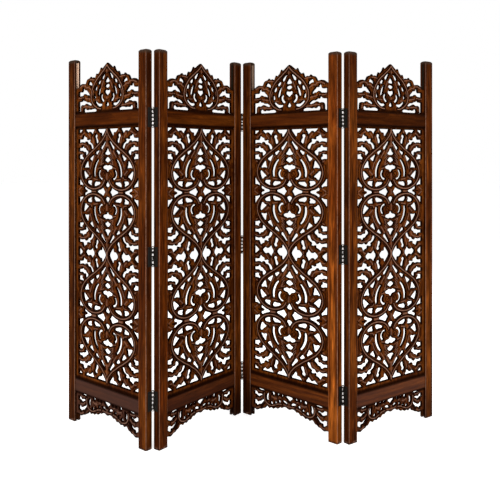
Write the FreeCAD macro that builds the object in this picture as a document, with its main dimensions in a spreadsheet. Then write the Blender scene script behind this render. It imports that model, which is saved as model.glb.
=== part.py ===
"""Carved jali screen: four pierced wooden panels, hinged edge to edge, standing in a zigzag row.

Units are millimetres. Z is up, Y points away from the viewer, and the origin is on the floor under
the middle of the row's bounding box. Each panel is drawn in a frame of its own: X runs from its
left edge to its right edge, Y from its front face to its back face, and Z up from its feet.

A panel is two stiles, two tenoned rails, a pierced jali board between the rails, a scrolled crest
above them and a scrolled apron below. The boards sit in a groove that runs along the stiles and
rails. Three butt hinges join each panel to the next, on the back at the near folds and on the
front at the far fold.
"""
import FreeCAD, Part
import math
import os
import Sketcher

Vector = FreeCAD.Vector

# Driving dimensions: the alias of each sheet cell, its value, and what it measures.
SIZES = (
    ("screen_height", 1524, "floor to the tops of the stiles"),
    ("panel_width", 508, "one panel, over both stiles"),
    ("stile_width", 45, "stile, seen from the front"),
    ("stile_depth", 30, "stile, front to back"),
    ("arris_radius", 2, "worn long edges of a stile"),
    ("crown_radius", 11, "rounding over the top of a stile"),
    ("rail_height", 54.5, "rail, top to bottom"),
    ("rail_depth", 22, "rail, front to back"),
    ("rail_arris", 1.2, "worn long edges of a rail"),
    ("top_rail_drop", 229.5, "stile top down to the top rail"),
    ("bottom_rail_rise", 129, "floor up to the bottom rail"),
    ("tenon_length", 20, "rail tenon, into the stile, short of the hinge screws"),
    ("tenon_height", 34, "rail tenon, top to bottom"),
    ("groove_depth", 10, "groove for the boards"),
    ("groove_clearance", 0.2, "beside a board or tenon in its groove, each side"),
    ("board_depth", 10, "every carved board, front to back"),
    ("board_play", 0.5, "between a board's edge and the bottom of its groove"),
    ("field_width", 392, "pierced field of the jali, side to side"),
    ("heart_height", 256, "one heart of the field, apex line to lobe line"),
    ("saw_margin", 1.3, "drawn line of an opening in to the saw cut"),
    ("crest_height", 200, "crest above the top rail"),
    ("apron_drop", 100, "apron below the bottom rail"),
    ("hinge_height", 75, "butt hinge, end to end of the barrel"),
    ("hinge_low", 184, "floor to the middle of the lowest hinge"),
    ("hinge_middle", 733, "floor to the middle of the middle hinge"),
    ("hinge_high", 1264, "floor to the middle of the top hinge"),
    ("leaf_reach", 24.5, "pin axis to the free edge of a hinge leaf"),
    ("leaf_thickness", 1.8, "hinge leaf"),
    ("barrel_radius", 3.5, "hinge knuckles"),
    ("knuckle_gap", 0.3, "between one knuckle and the next"),
    ("pin_radius", 1.6, "hinge pin"),
    ("pin_clearance", 0.1, "between a pin and the bore of a knuckle"),
    ("pin_side", 2, "edge of a panel out to the pin axis"),
    ("pin_offset", 2.5, "face of a panel out to the pin axis"),
    ("pin_head_height", 2, "button at each end of a pin"),
    ("screw_radius", 1.75, "hinge screw shank"),
    ("screw_head_radius", 3.6, "hinge screw head"),
    ("screw_length", 18, "hinge screw in the wood"),
    ("screw_clearance", 0.05, "around a screw in its hole"),
    ("panel_1_turn", -41.8, "degrees, panel 1 from +X about +Z"),
    ("panel_2_turn", 53.1, "degrees, panel 2"),
    ("panel_3_turn", -43.3, "degrees, panel 3"),
    ("panel_4_turn", 37.8, "degrees, panel 4"),
)

PANELS = (1, 2, 3, 4)
KNUCKLES = 5

# The hinges of a fold from the top down: alias of the level, and the word used in names.
HINGES = ("hinge_high", "hinge_middle", "hinge_low")
HINGE_NAMES = {"hinge_high": "top", "hinge_middle": "middle", "hinge_low": "bottom"}

# How far an edge may be from parallel to an axis, as a share of its length.
STRAIGHT_SHARE = 1e-6

# How sharp a tip of an opening the saw still turns in: one is a right angle, less is sharper.
TIP_SHARE = 0.6

# Each fold: the panels left and right of it, and the face that its hinge pins stand out from.
FOLDS = (
    (1, 2, "back"),
    (2, 3, "front"),
    (3, 4, "back"),
)

# Screws of one leaf: height as a share of the hinge, distance from the axis as a share of the leaf.
SCREW_SHARES = (
    (0.16, 0.74),
    (0.50, 0.46),
    (0.84, 0.74),
)

# The carver's template for a quarter of a heart, measured in squares: so many from the middle line
# of the panel out to the plain border, and so many from the apex line to the lobe line.
TILE_SQUARES_WIDE = 196
TILE_SQUARES_HIGH = 256

# The four hearts from the top down: the level of the apex above the foot of the pierced field, in
# heart heights, and whether the heart hangs from it. The middle two meet at their apexes. The
# carver's spacing is a little uneven.
HEART_SHARES = ((4.017, True), (2.015, False), (2.032, True), (0.016, False))

# Openings that lie whole inside the quarter heart. Points are in squares, so each is a share of
# half the field's width and of a heart's height: out from the middle line, then down from the apex.
FREE_OPENING_SHARES = (
    # Bent slip beside the apex
    ((64, 27), (67, 23), (73, 21), (80, 21.5), (86, 26), (88, 31), (84, 37), (82, 44), (80, 51),
     (78, 58), (74, 61), (68, 61), (62, 58), (58.5, 53), (60, 46), (64, 40), (67, 35), (65, 31)),
    # Teardrop under the apex
    ((9, 52), (13, 48), (19, 49.5), (25, 55), (31, 61), (37, 66.5), (43, 71), (47, 75.5),
     (47, 81), (43, 85.5), (37, 87), (31, 84), (26, 78), (21, 71), (16, 64), (11, 57)),
    # First opening inside the heart's edge
    ((52, 90), (56, 86), (62, 85), (68, 88), (75, 91), (81, 93.5), (83, 97), (81, 102),
     (77, 106), (71, 108), (65, 105), (60, 99.5), (55, 94.5)),
    # Second opening inside the heart's edge
    ((88, 107), (90, 103), (94.5, 102.5), (100, 106), (106, 110), (113, 114), (120, 118),
     (124, 121.5), (121, 125.5), (116, 128.5), (111, 132), (106, 134), (100.5, 132),
     (97, 127), (94, 120.5), (90.5, 114)),
    # Third opening inside the heart's edge
    ((128, 132), (132, 129), (137, 128.5), (142.5, 133.5), (148.5, 139.5), (153.5, 146),
     (158, 152), (160.5, 157), (157, 161), (150, 161), (143, 159), (136, 159), (129.5, 161.5),
     (123.5, 161.5), (121.5, 157.5), (124, 150.5), (125.5, 143), (126.5, 137)),
    # Fourth opening inside the heart's edge
    ((125, 192), (132, 186.5), (140, 180.5), (148, 174), (155, 169.5), (161.5, 170), (165.5, 175),
     (165, 183), (163, 191), (160, 199), (155.5, 206), (149.5, 208.5), (143, 206), (137, 201),
     (130.5, 197.5), (125, 195.5)),
    # Outer opening over the lobe
    ((101.5, 214), (105, 210.5), (115, 210.5), (126, 210), (134, 211.5), (139, 216.5),
     (138, 222), (131, 226.5), (123, 230), (115, 233), (107, 233.5), (102.5, 230.5),
     (104.5, 226), (104.5, 221)),
    # Inner opening over the lobe
    ((44.5, 220), (48, 216.5), (56, 215.5), (65, 215.5), (74, 214.5), (81, 214), (87, 217),
     (92, 222.5), (94.5, 229), (92.5, 234), (86, 236), (77, 235), (68, 232.5), (59, 230),
     (51, 227), (45.5, 223.5)),
    # Long slip between the two plumes
    ((54.5, 126), (58, 122), (63, 122), (70, 127), (77, 133.5), (83, 141.5), (88, 150),
     (92, 159), (94.5, 168.5), (95.5, 178), (94.5, 188), (93, 194.5), (89, 199), (83.5, 199.5),
     (79.5, 196), (78, 189), (78.5, 181), (77.5, 172), (75.5, 163), (72, 154), (67.5, 145.5),
     (62.5, 137), (57, 131)),
    # Crescent beside the boss
    ((41.5, 170), (44, 165.5), (50, 164.5), (56, 168), (60.5, 173.5), (63.5, 180), (64, 187),
     (61.5, 194), (57, 200), (51, 205), (44, 208.5), (37, 208.5), (31, 206), (29.5, 202),
     (33, 199.5), (39, 198.5), (43.5, 195.5), (47, 190.5), (48.5, 185), (47.5, 179.5),
     (44.5, 174.5)),
)

# Openings cut square by the plain side border, drawn from border to border.
BORDER_OPENING_SHARES = (
    # Spreading leaf gap, the largest
    ((196, 41), (188, 40), (180, 40.5), (173, 40), (169.5, 36), (167, 30), (163.5, 25),
     (158.5, 23), (152, 27), (145, 31), (138.5, 33), (135.5, 36.5), (136, 41.5), (133, 43.5),
     (127, 41.5), (120, 40.5), (113.5, 42.5), (112, 46), (114.5, 49.5), (112, 54), (105, 57.5),
     (99.5, 61.5), (95, 67), (92, 73), (92, 78.5), (96, 82.5), (102.5, 84), (109, 82),
     (112.5, 77), (115, 71), (118.5, 65.5), (124, 62.5), (131, 62), (136.5, 58.5),
     (140.5, 53.5), (145.5, 51), (149, 53.5), (152, 57.5), (158, 58), (165, 54.5), (173, 53.5),
     (181, 55), (188, 57), (196, 57)),
    # Smaller leaf gap under it
    ((196, 76.5), (188, 76), (180, 75.5), (175, 73), (172.5, 69), (168, 66), (162.5, 67.5),
     (159, 71.5), (156, 75.5), (148.5, 76.5), (143, 79.5), (140.5, 83.5), (135, 87),
     (130, 90.5), (127.5, 94.5), (129, 99), (133.5, 103.5), (138, 107.5), (143, 110),
     (149, 109.5), (152.5, 105), (152.5, 99), (154, 95), (159, 94), (164, 95), (169, 93),
     (174, 90), (181, 89.5), (188, 90.5), (196, 91)),
    # Notched gap beside the heart's shoulder
    ((196, 104), (187, 104), (180, 102.5), (173, 101), (168, 103.5), (168, 107.5), (168.5, 111),
     (165, 113.5), (161, 117), (160, 121), (163.5, 125), (169.5, 126.5), (175.5, 125),
     (181, 123.5), (188, 123.5), (196, 123.5)),
    # Corner gap outside the lobe
    ((196, 197), (191, 199), (186, 203), (182, 209), (177, 215), (171.5, 220), (166.5, 225),
     (163, 229.5), (163.5, 234.5), (167, 237.5), (171.5, 237.5), (175.5, 234.5), (180, 232),
     (187, 231.5), (196, 231.5)),
)

# Halves of openings that lie on the panel's middle line, drawn from that line back to it.
MIDDLE_OPENING_SHARES = (
    # Bell
    ((0, 77.5), (4, 78.5), (8, 82.5), (11, 88), (16, 94), (21, 98.5), (21.5, 102.5),
     (18, 105), (12, 106.5), (6, 107.5), (0, 108)),
    # Bud
    ((0, 114.5), (7, 114.5), (12, 117), (17, 121.5), (21, 125.5), (21, 129), (17, 132),
     (12, 134), (6, 138), (0, 139.5)),
    # Winged gap over the boss
    ((0, 148), (4, 147), (10, 144.5), (15, 145), (20, 147.5), (26, 149.5), (32, 151.5),
     (35, 155.5), (33.5, 160.5), (28, 164), (20, 165.5), (14, 167), (10, 170), (7, 174.5),
     (3, 177.5), (0, 178)),
    # Drop between the lobes
    ((0, 210), (4, 211), (7, 216), (11, 221), (15, 226), (16.5, 230), (13, 234), (7, 237),
     (0, 238)),
)

# Halves of openings that lie on the apex line, drawn from that line back to it.
APEX_OPENING_SHARES = (
    # Beside the apex
    ((9, 0), (10, 4), (13, 10), (18, 16), (24, 23), (29, 29), (35.5, 32), (41, 30), (43, 25),
     (43.5, 19.5), (47, 16.5), (52, 17), (57, 15.5), (62, 11.5), (67, 6.5), (70, 0)),
    # Farther out
    ((85, 0), (85.5, 5), (88.5, 9.5), (93, 14), (95, 19.5), (97.5, 23.5), (102, 24),
     (107, 20.5), (112, 16), (117, 12), (121, 11), (125.5, 13.5), (130.5, 16.5), (136, 15),
     (141.5, 11), (147, 6.5), (151, 0)),
)

# Half of the gap in the corner of the apex line and the border, drawn from one to the other.
CORNER_OPENING_SHARES = ((167, 0), (169, 4), (174.5, 8.5), (181, 12.5), (188, 17), (196, 20))

# Halves of openings that lie on the lobe line, drawn from that line back to it.
LOBE_OPENING_SHARES = (
    ((12, 256), (14, 253), (18, 249), (21, 244.5), (23.5, 240.5), (28, 238), (34, 238.5),
     (40, 241.5), (47, 244.5), (55, 247.5), (63, 249.5), (69.5, 252.5), (72, 256)),
    ((105, 256), (107, 253), (113, 250), (121, 248), (129, 246), (137, 242.5), (144, 238.5),
     (151, 236), (157, 238), (159.5, 242.5), (158.5, 247), (155, 250), (150, 251.5),
     (145, 253), (143, 256)),
)

# The crest, in squares of its own template: out from the middle line, then up from the top rail.
CREST_SQUARES_HIGH = 201

# Runs of the top edge from the stile to the middle line. Each run ends in a notch or on a thorn.
CREST_EDGE_SHARES = (
    ((206, 108), (200, 110), (194, 114), (187, 118.5), (178, 123.5), (168, 125.5), (158, 124.5),
     (149, 123)),
    ((149, 123), (145, 127), (142, 132.5), (138.5, 138), (134, 141.5), (126, 144), (119, 145.5)),
    ((119, 145.5), (115.5, 149), (111.5, 151.5)),
    ((111.5, 151.5), (108.5, 147.5), (103, 145.5), (97, 146.5), (93, 147.5)),
    ((93, 147.5), (89, 144), (83, 142)),
    ((83, 142), (79, 149), (76, 156), (72.5, 161.5)),
    ((72.5, 161.5), (68.5, 158.5), (62.5, 158)),
    ((62.5, 158), (56, 164), (50, 170), (47, 177), (42, 184)),
    ((42, 184), (39, 179), (34, 177.5)),
    ((34, 177.5), (27, 182.5), (18, 189), (9, 195.5), (0, 200.5)),
)
CREST_FREE_SHARES = (
    # Beside the shoulder
    ((130, 121.5), (127, 128), (122.5, 133), (117.5, 133), (111.5, 130), (105, 126.5), (101, 122),
     (100, 115), (104, 110), (109, 110.5), (113.5, 114), (118.5, 116.5), (124.5, 117), (129.5, 118)),
    # Long gap over the top rail
    ((162, 9), (162.5, 15), (159, 20.5), (154, 22.5), (148, 22), (143.5, 19.5), (140, 16),
     (136, 15), (131.5, 17), (127, 18), (122, 17), (117, 15.5), (112, 16.5), (105, 18),
     (98, 18), (90, 19), (83, 18), (76, 15.5), (71, 12), (71, 7.5), (77, 4.5), (90, 4),
     (107, 4), (124, 4), (144, 4), (155, 4), (160, 5.5)),
    # Four gaps that climb inside the edge
    ((8, 158.5), (12, 154.5), (15.5, 148.5), (18.5, 142.5), (21.5, 137.5), (26.5, 133),
     (33.5, 132.5), (39, 137), (38, 144), (32.5, 150), (26, 155.5), (18.5, 159.5), (12, 161)),
    ((42.5, 131), (43, 126), (45.5, 120.5), (50, 116), (56, 113.5), (62, 115), (65.5, 120),
     (64, 125), (59, 129.5), (53.5, 133), (47.5, 134.5)),
    ((66.5, 110.5), (65.5, 105.5), (66.5, 100), (69, 94), (72.5, 91), (79, 90.5), (85, 92.5),
     (85.5, 98), (82.5, 104), (78, 109.5), (72, 113)),
    ((85, 81.5), (79.5, 76), (77, 69.5), (74.5, 64), (77, 59), (82, 57), (87, 57.5), (90, 62.5),
     (90, 70), (89, 77.5)),
    # Slip between the plumes
    ((37, 110), (39.5, 104), (42, 97), (44, 90), (46, 83), (48, 76), (51.5, 70), (57, 66.5),
     (63, 68), (64.5, 74), (63, 81), (61, 88), (58, 95), (54, 101), (49, 107), (42, 112.5)),
    # Crescent
    ((40, 76), (35, 78.5), (29.5, 77), (28, 71), (30, 65), (30, 60), (26, 55), (21, 50),
     (18.5, 46), (22, 42), (30, 41), (37.5, 45), (43, 51), (46, 58), (47, 65), (44.5, 71.5)),
    # Bowl under the plumes
    ((83.5, 47), (77, 50), (70, 47), (63, 42), (57, 38.5), (51, 37), (43, 37), (35, 36.5),
     (31, 32.5), (34.5, 27.5), (43, 24.5), (51, 22.5), (59, 24), (66, 27.5), (73, 32.5),
     (79, 38), (83, 42.5)),
)
CREST_BORDER_SHARES = (
    ((196, 91), (184, 92), (178, 91.5), (172, 93), (169, 98), (167.5, 104), (165, 107.5),
     (161, 109.5), (156, 108), (153, 103), (151, 99), (147, 98.5), (142, 99.5), (137, 97),
     (134, 93), (130, 90), (126, 86.5), (121, 81.5), (118, 76.5), (118, 72.5), (123, 71.5),
     (129, 73), (134, 75.5), (139, 75.5), (145, 76), (149, 79), (153, 81), (157, 79.5),
     (161, 76), (167, 73.5), (176, 73), (184, 72), (196, 73)),
    # Gap that runs down from the hooked leaf beside the border
    ((196, 51), (188, 51.5), (182, 52), (175, 53), (171, 57), (168, 60), (164, 61), (159.5, 59),
     (157, 55), (154, 52.5), (150, 53), (145.5, 53), (141, 50), (137, 47.5), (131, 46.5),
     (124, 47), (117, 45), (111, 41), (106, 37.5), (103.5, 33.5), (108, 30.5), (115, 30),
     (123, 32), (131, 34.5), (137, 37.5), (142, 39.5), (147, 38.5), (151, 36), (157, 34),
     (164, 34.5), (171, 35), (175.5, 33), (179, 29), (180.5, 23), (180.5, 15), (181, 9),
     (184.5, 5), (196, 4.5)),
)
CREST_MIDDLE_SHARES = (
    ((0, 145.5), (5, 142), (9, 137), (13, 132), (16, 127), (15, 122), (8, 120), (0, 119.5)),
    ((0, 115), (8, 114), (14, 111.5), (17, 107), (15, 102.5), (8, 98.5), (0, 97)),
    ((0, 89.5), (6, 91.5), (13, 92.5), (18, 89.5), (20, 84), (18, 78), (12.5, 74), (8, 70),
     (4, 67), (0, 66)),
    ((0, 46.5), (4, 43.5), (7, 39), (10, 34.5), (11.5, 30), (10, 26), (5.5, 24), (0, 23.5)),
)

# The apron, in squares of its own template: out from the middle line, then down from the rail.
APRON_SQUARES_HIGH = 100
APRON_EDGE_SHARES = (
    ((206, 97), (192, 97), (179, 100), (169, 95.5), (160, 91.5), (153, 91), (146, 85.5),
     (137, 83.5), (130, 77), (124, 71), (117, 72), (108, 77), (101, 72), (94, 72), (87, 74.5),
     (79, 69.5), (71, 67), (63, 69), (56, 64), (48, 59), (40, 60.5), (33, 56), (25, 53),
     (14, 53.5), (6, 57), (0, 58)),
)
APRON_FREE_SHARES = (
    # Slit under the rail
    ((174, 6), (169, 4.5), (162, 4), (150, 4), (141, 4.5), (136, 7), (139, 10.5), (149, 11.5),
     (156, 13), (163, 12.5), (170, 10.5)),
    # Upright slip
    ((116, 13), (111.5, 15.5), (112, 21.5), (113.5, 28), (113.5, 35), (112.5, 41), (115, 46.5),
     (120, 49), (125.5, 46.5), (128, 39.5), (128.5, 32), (127, 24.5), (123.5, 18.5), (120, 14.5)),
    # Eye beside the middle
    ((37, 28), (31, 26), (24, 26), (16, 28.5), (10.5, 32.5), (7, 37.5), (10, 41), (17, 40.5),
     (23, 38.5), (30, 37), (35, 33.5)),
)
APRON_BORDER_SHARES = (
    ((196, 19.5), (188, 18.5), (182, 20), (177, 22), (174.5, 26), (170, 28.5), (165, 27),
     (158, 25.5), (151, 25.5), (146.5, 29), (149, 33), (155, 34.5), (160.5, 36), (163.5, 39.5),
     (168, 42.5), (175, 42.5), (180, 40.5), (186, 37.5), (196, 36)),
    ((196, 57.5), (187, 56), (181, 57), (176.5, 61), (171.5, 62.5), (166, 60), (160, 57.5),
     (155, 54), (151, 50.5), (146, 47.5), (140.5, 45), (138.5, 50), (141.5, 56.5), (147, 62),
     (151, 66.5), (156, 71.5), (163, 74.5), (169, 74.5), (172, 77.5), (172.5, 81.5),
     (175, 85), (179.5, 84.5), (184.5, 81), (189, 78), (196, 77.5)),
)
APRON_MIDDLE_SHARES = (
    ((0, 3), (7, 3.5), (15, 4.5), (20, 8), (18.5, 12.5), (13.5, 16), (8.5, 19.5), (4, 23.5),
     (0, 25.5)),
)
# Round holes of the apron: middle, then radius, all in squares.
APRON_ROUND_SHARES = (
    ((86.5, 10), 7),
    ((60, 9), 5),
    ((38, 9), 5),
    ((53, 36), 6),
    ((74, 45.5), 5.5),
    ((96.5, 52), 6.5),
)

doc = FreeCAD.newDocument("jali_screen")
sheet = doc.addObject("Spreadsheet::Sheet", "Sizes")


def fill_sheet():
    """Write every driving dimension into the sheet: note, value and alias."""
    for row, (alias, value, note) in enumerate(SIZES, start=1):
        sheet.set(f"A{row}", note)
        sheet.set(f"B{row}", str(value))
        sheet.setAlias(f"B{row}", alias)
    doc.recompute()


def size(alias):
    """Return one driving dimension as a plain number."""
    return float(sheet.get(alias))


def sketch_on(body, name, role, offset="0"):
    """Return an empty sketch on an origin plane of the body, set off along the plane's normal."""
    sketch = body.newObject("Sketcher::SketchObject", name)
    plane = next(item for item in body.Origin.OriginFeatures if item.Role == role)
    sketch.AttachmentSupport = (plane, [""])
    sketch.MapMode = "FlatFace"
    sketch.setExpression("AttachmentOffset.Base.z", offset)
    return sketch


def bind_constraint(sketch, text, *parts):
    """Add a dimension to the sketch and bind it to an expression of the sheet."""
    number = sketch.addConstraint(Sketcher.Constraint(*parts, 1.0))
    sketch.setExpression(f"Constraints[{number}]", text)


def add_rectangle(sketch, left, low, wide, tall):
    """Draw a rectangle whose corner, width and height are expressions of the sheet."""
    first = sketch.GeometryCount
    corners = (Vector(0, 0, 0), Vector(1, 0, 0), Vector(1, 1, 0), Vector(0, 1, 0))
    for index, corner in enumerate(corners):
        sketch.addGeometry(Part.LineSegment(corner, corners[(index + 1) % 4]), False)
    for index in range(4):
        following = first + (index + 1) % 4
        sketch.addConstraint(Sketcher.Constraint("Coincident", first + index, 2, following, 1))
    for index, kind in enumerate(("Horizontal", "Vertical", "Horizontal", "Vertical")):
        sketch.addConstraint(Sketcher.Constraint(kind, first + index))
    bind_constraint(sketch, left, "DistanceX", -1, 1, first, 1)
    bind_constraint(sketch, low, "DistanceY", -1, 1, first, 1)
    bind_constraint(sketch, wide, "DistanceX", first, 1, first, 2)
    bind_constraint(sketch, tall, "DistanceY", first + 1, 1, first + 1, 2)


def add_circle(sketch, across, up, radius):
    """Draw a circle whose middle and radius are expressions of the sheet."""
    number = sketch.addGeometry(Part.Circle(Vector(1, 1, 0), Vector(0, 0, 1), 1), False)
    bind_constraint(sketch, across, "DistanceX", -1, 1, number, 3)
    bind_constraint(sketch, up, "DistanceY", -1, 1, number, 3)
    bind_constraint(sketch, radius, "Radius", number)


def add_corner_waste(sketch, across, up, way):
    """Draw the waste outside one rounded top corner, way being 1 at the left and -1 at the right."""
    first = sketch.GeometryCount
    corner = Vector(0, 0, 0)
    top_end = Vector(way, 0, 0)
    side_end = Vector(0, -1, 0)
    centre = Vector(way, -1, 0)
    sketch.addGeometry(Part.LineSegment(corner, top_end), False)
    sketch.addGeometry(Part.LineSegment(side_end, corner), False)
    quarter = (math.pi / 2, math.pi) if way > 0 else (0, math.pi / 2)
    sketch.addGeometry(Part.ArcOfCircle(Part.Circle(centre, Vector(0, 0, 1), 1), *quarter), False)
    top_point, side_point = (1, 2) if way > 0 else (2, 1)
    sketch.addConstraint(Sketcher.Constraint("Coincident", first, 1, first + 1, 2))
    sketch.addConstraint(Sketcher.Constraint("Coincident", first, 2, first + 2, top_point))
    sketch.addConstraint(Sketcher.Constraint("Coincident", first + 1, 1, first + 2, side_point))
    sketch.addConstraint(Sketcher.Constraint("Horizontal", first))
    sketch.addConstraint(Sketcher.Constraint("Vertical", first + 1))
    bind_constraint(sketch, across, "DistanceX", -1, 1, first, 1)
    bind_constraint(sketch, up, "DistanceY", -1, 1, first, 1)
    start, end = (1, 2) if way > 0 else (2, 1)
    bind_constraint(sketch, "Sizes.crown_radius", "DistanceX", first, start, first, end)
    bind_constraint(sketch, "Sizes.crown_radius", "DistanceY", first + 1, 1, first + 1, 2)
    bind_constraint(sketch, "Sizes.crown_radius", "Radius", first + 2)


def pad(body, sketch, length):
    """Pad a sketch along its normal."""
    feature = body.newObject("PartDesign::Pad", f"{sketch.Name}_pad")
    feature.Profile = sketch
    feature.setExpression("Length", length)
    return feature


def pocket(body, sketch, length=None):
    """Cut a sketch along its normal into the solid, or both ways through it with no length."""
    feature = body.newObject("PartDesign::Pocket", f"{sketch.Name}_cut")
    feature.Profile = sketch
    if length:
        feature.Reversed = True
        feature.setExpression("Length", length)
    else:
        feature.Type = "ThroughAll"
        feature.Midplane = True
    return feature


def fillet(body, base, chosen, radius):
    """Round the edges of the last feature that a test picks out."""
    doc.recompute()
    edges = base.Shape.Edges
    names = [f"Edge{number}" for number, edge in enumerate(edges, start=1) if chosen(edge)]
    feature = body.newObject("PartDesign::Fillet", f"{base.Name}_round")
    feature.Base = (base, names)
    feature.setExpression("Radius", radius)
    return feature


def runs_along(edge, axis):
    """Tell whether an edge is straight and parallel to an axis, 0 for X, 1 for Y or 2 for Z."""
    direction = edge.Vertexes[-1].Point - edge.Vertexes[0].Point
    return abs(abs(direction[axis]) - edge.Length) < edge.Length * STRAIGHT_SHARE


def groove_width_text():
    """Expression for the width of the groove that holds the boards and the tenons."""
    return "(Sizes.board_depth + 2 * Sizes.groove_clearance)"


def build_stile(node, pin_face):
    """Make a stile: X from its outer edge to its grooved edge, feet at Z 0.

    pin_face is the face, front or back in this stile's own frame, that its hinge pins stand out
    from, or None for a stile at the end of the row.
    """
    body = doc.addObject("PartDesign::Body", node)
    plan = sketch_on(body, f"{node}_plan", "XY_Plane")
    add_rectangle(plan, "0", "0", "Sizes.stile_width", "Sizes.stile_depth")
    post = pad(body, plan, "Sizes.screen_height")
    fillet(body, post, lambda edge: runs_along(edge, 2), "Sizes.arris_radius")
    for plane, wide in (("XZ_Plane", "Sizes.stile_width"), ("YZ_Plane", "Sizes.stile_depth")):
        crown = sketch_on(body, f"{node}_crown_{plane}", plane)
        add_corner_waste(crown, "0", "Sizes.screen_height", 1)
        add_corner_waste(crown, wide, "Sizes.screen_height", -1)
        pocket(body, crown)

    groove = sketch_on(body, f"{node}_groove", "XY_Plane")
    across = f"(Sizes.stile_depth - {groove_width_text()}) / 2"
    inner = "Sizes.stile_width - Sizes.groove_depth"
    add_rectangle(groove, inner, across, "Sizes.groove_depth", groove_width_text())
    pocket(body, groove, "Sizes.screen_height")

    tenon_rise = "(Sizes.rail_height - Sizes.tenon_height) / 2 - Sizes.board_play"
    mortises = (
        ("low", f"Sizes.bottom_rail_rise + {tenon_rise}"),
        ("high", f"Sizes.screen_height - Sizes.top_rail_drop - Sizes.rail_height + {tenon_rise}"),
    )
    for name, rise in mortises:
        mortise = sketch_on(body, f"{node}_{name}_mortise", "XY_Plane", rise)
        start = "Sizes.stile_width - Sizes.tenon_length - Sizes.board_play"
        deep = "Sizes.tenon_length + Sizes.board_play - Sizes.groove_depth"
        add_rectangle(mortise, start, across, deep, groove_width_text())
        pocket(body, mortise, "Sizes.tenon_height + 2 * Sizes.board_play")

    if pin_face:
        pilots = sketch_on(body, f"{node}_pilots", "YZ_Plane")
        for hinge in HINGES:
            for up_share, out_share in SCREW_SHARES:
                reach = f"({out_share} * Sizes.leaf_reach - Sizes.pin_offset)"
                across = reach if pin_face == "front" else f"Sizes.stile_depth - {reach}"
                up = f"Sizes.{hinge} + ({up_share} - 0.5) * Sizes.hinge_height"
                add_circle(pilots, across, up, "Sizes.screw_radius + Sizes.screw_clearance")
        pocket(body, pilots, "Sizes.screw_length + Sizes.screw_clearance")
    return body


def build_rail(node):
    """Make a rail with a tenon at each end and a groove along its top and bottom edges.

    X runs from the left shoulder to the right one, Y from the front, Z from the bottom edge.
    """
    span = "(Sizes.panel_width - 2 * Sizes.stile_width)"
    body = doc.addObject("PartDesign::Body", node)
    plan = sketch_on(body, f"{node}_plan", "XY_Plane")
    add_rectangle(plan, "0", "0", span, "Sizes.rail_depth")
    blank = pad(body, plan, "Sizes.rail_height")
    fillet(body, blank, lambda edge: runs_along(edge, 0), "Sizes.rail_arris")

    tenons = sketch_on(body, f"{node}_tenons", "XY_Plane",
                       "(Sizes.rail_height - Sizes.tenon_height) / 2")
    add_rectangle(tenons, "-Sizes.tenon_length", "(Sizes.rail_depth - Sizes.board_depth) / 2",
                  f"{span} + 2 * Sizes.tenon_length", "Sizes.board_depth")
    pad(body, tenons, "Sizes.tenon_height")

    for name, rise in (("low", "0"), ("high", "Sizes.rail_height - Sizes.groove_depth")):
        groove = sketch_on(body, f"{node}_{name}_groove", "XY_Plane", rise)
        add_rectangle(groove, "0", f"(Sizes.rail_depth - {groove_width_text()}) / 2",
                      span, groove_width_text())
        pocket(body, groove, "Sizes.groove_depth")
    return body


def curve_through(points, closed=False):
    """Return a smooth edge through points, or a straight one through two."""
    if len(points) == 2:
        return Part.makeLine(points[0], points[1])
    curve = Part.BSplineCurve()
    curve.interpolate(Points=points, PeriodicFlag=closed)
    return curve.toShape()


def sawn(points):
    """Return a drawn outline's points moved into the opening by the saw's margin."""
    area = sum(start.x * end.z - end.x * start.z
               for start, end in zip(points, [*points[1:], points[0]]))
    turn = math.copysign(size("saw_margin"), area)
    moved_points = []
    for before, point, after in zip([points[-1], *points], points, [*points[1:], points[0]]):
        behind = (point - before).normalize()
        ahead = (after - point).normalize()
        inward = Vector(-behind.z - ahead.z, 0, behind.x + ahead.x)
        spread = max(1 + behind.dot(ahead), TIP_SHARE)
        moved_points.append(point + inward * (turn / spread))
    return moved_points


def closed_wire(points):
    """Return a smooth closed outline, sawn inside its drawn line."""
    return Part.Wire([curve_through(sawn(points), closed=True)])


def bounded_wire(points, *corners):
    """Return a smooth run closed by straight lines through any corners given, sawn likewise."""
    outline = sawn([*points, *corners])
    run, turns = outline[:len(points)], outline[len(points):]
    edges = [curve_through(run)]
    stops = [run[-1], *turns, run[0]]
    for start, end in zip(stops, stops[1:]):
        edges.append(Part.makeLine(start, end))
    return Part.Wire(edges)


def unfold(half, axis):
    """Return the closed outline of an opening from its half and the line that halves it.

    axis is 0 for a half drawn from the middle line (X of zero) and 1 for one drawn from the apex
    or lobe line, whose second value the half starts and ends on.
    """
    level = half[0][axis]
    mirrored = []
    for point in reversed(half[1:-1]):
        twin = list(point)
        twin[axis] = 2 * level - point[axis]
        mirrored.append(tuple(twin))
    return (*half, *mirrored)


class Template:
    """Turns the squares of a carver's template into points on a board in its panel's frame."""

    def __init__(self, square_wide, square_high, level, down):
        self.square_wide = square_wide
        self.square_high = square_high
        self.middle = size("panel_width") / 2
        self.level = level
        self.way = -1 if down else 1

    def points(self, shares, side):
        """Place template points on the left (-1) or right (1) half of the board."""
        return [Vector(self.middle + side * across * self.square_wide, 0,
                       self.level + self.way * along * self.square_high)
                for across, along in shares]

    def free(self, table):
        """Openings that are whole in the template, on both halves."""
        return [closed_wire(self.points(shares, side)) for shares in table for side in (-1, 1)]

    def border(self, table):
        """Openings cut square by the side border, on both halves."""
        return [bounded_wire(self.points(shares, side)) for shares in table for side in (-1, 1)]

    def middle_line(self, table):
        """Openings drawn as halves from the middle line, once."""
        return [closed_wire(self.points(unfold(shares, 0), 1)) for shares in table]

    def level_line(self, table):
        """Openings drawn as halves from a level line, unfolded over it, on both halves."""
        return [closed_wire(self.points(unfold(shares, 1), side))
                for shares in table for side in (-1, 1)]


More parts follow.
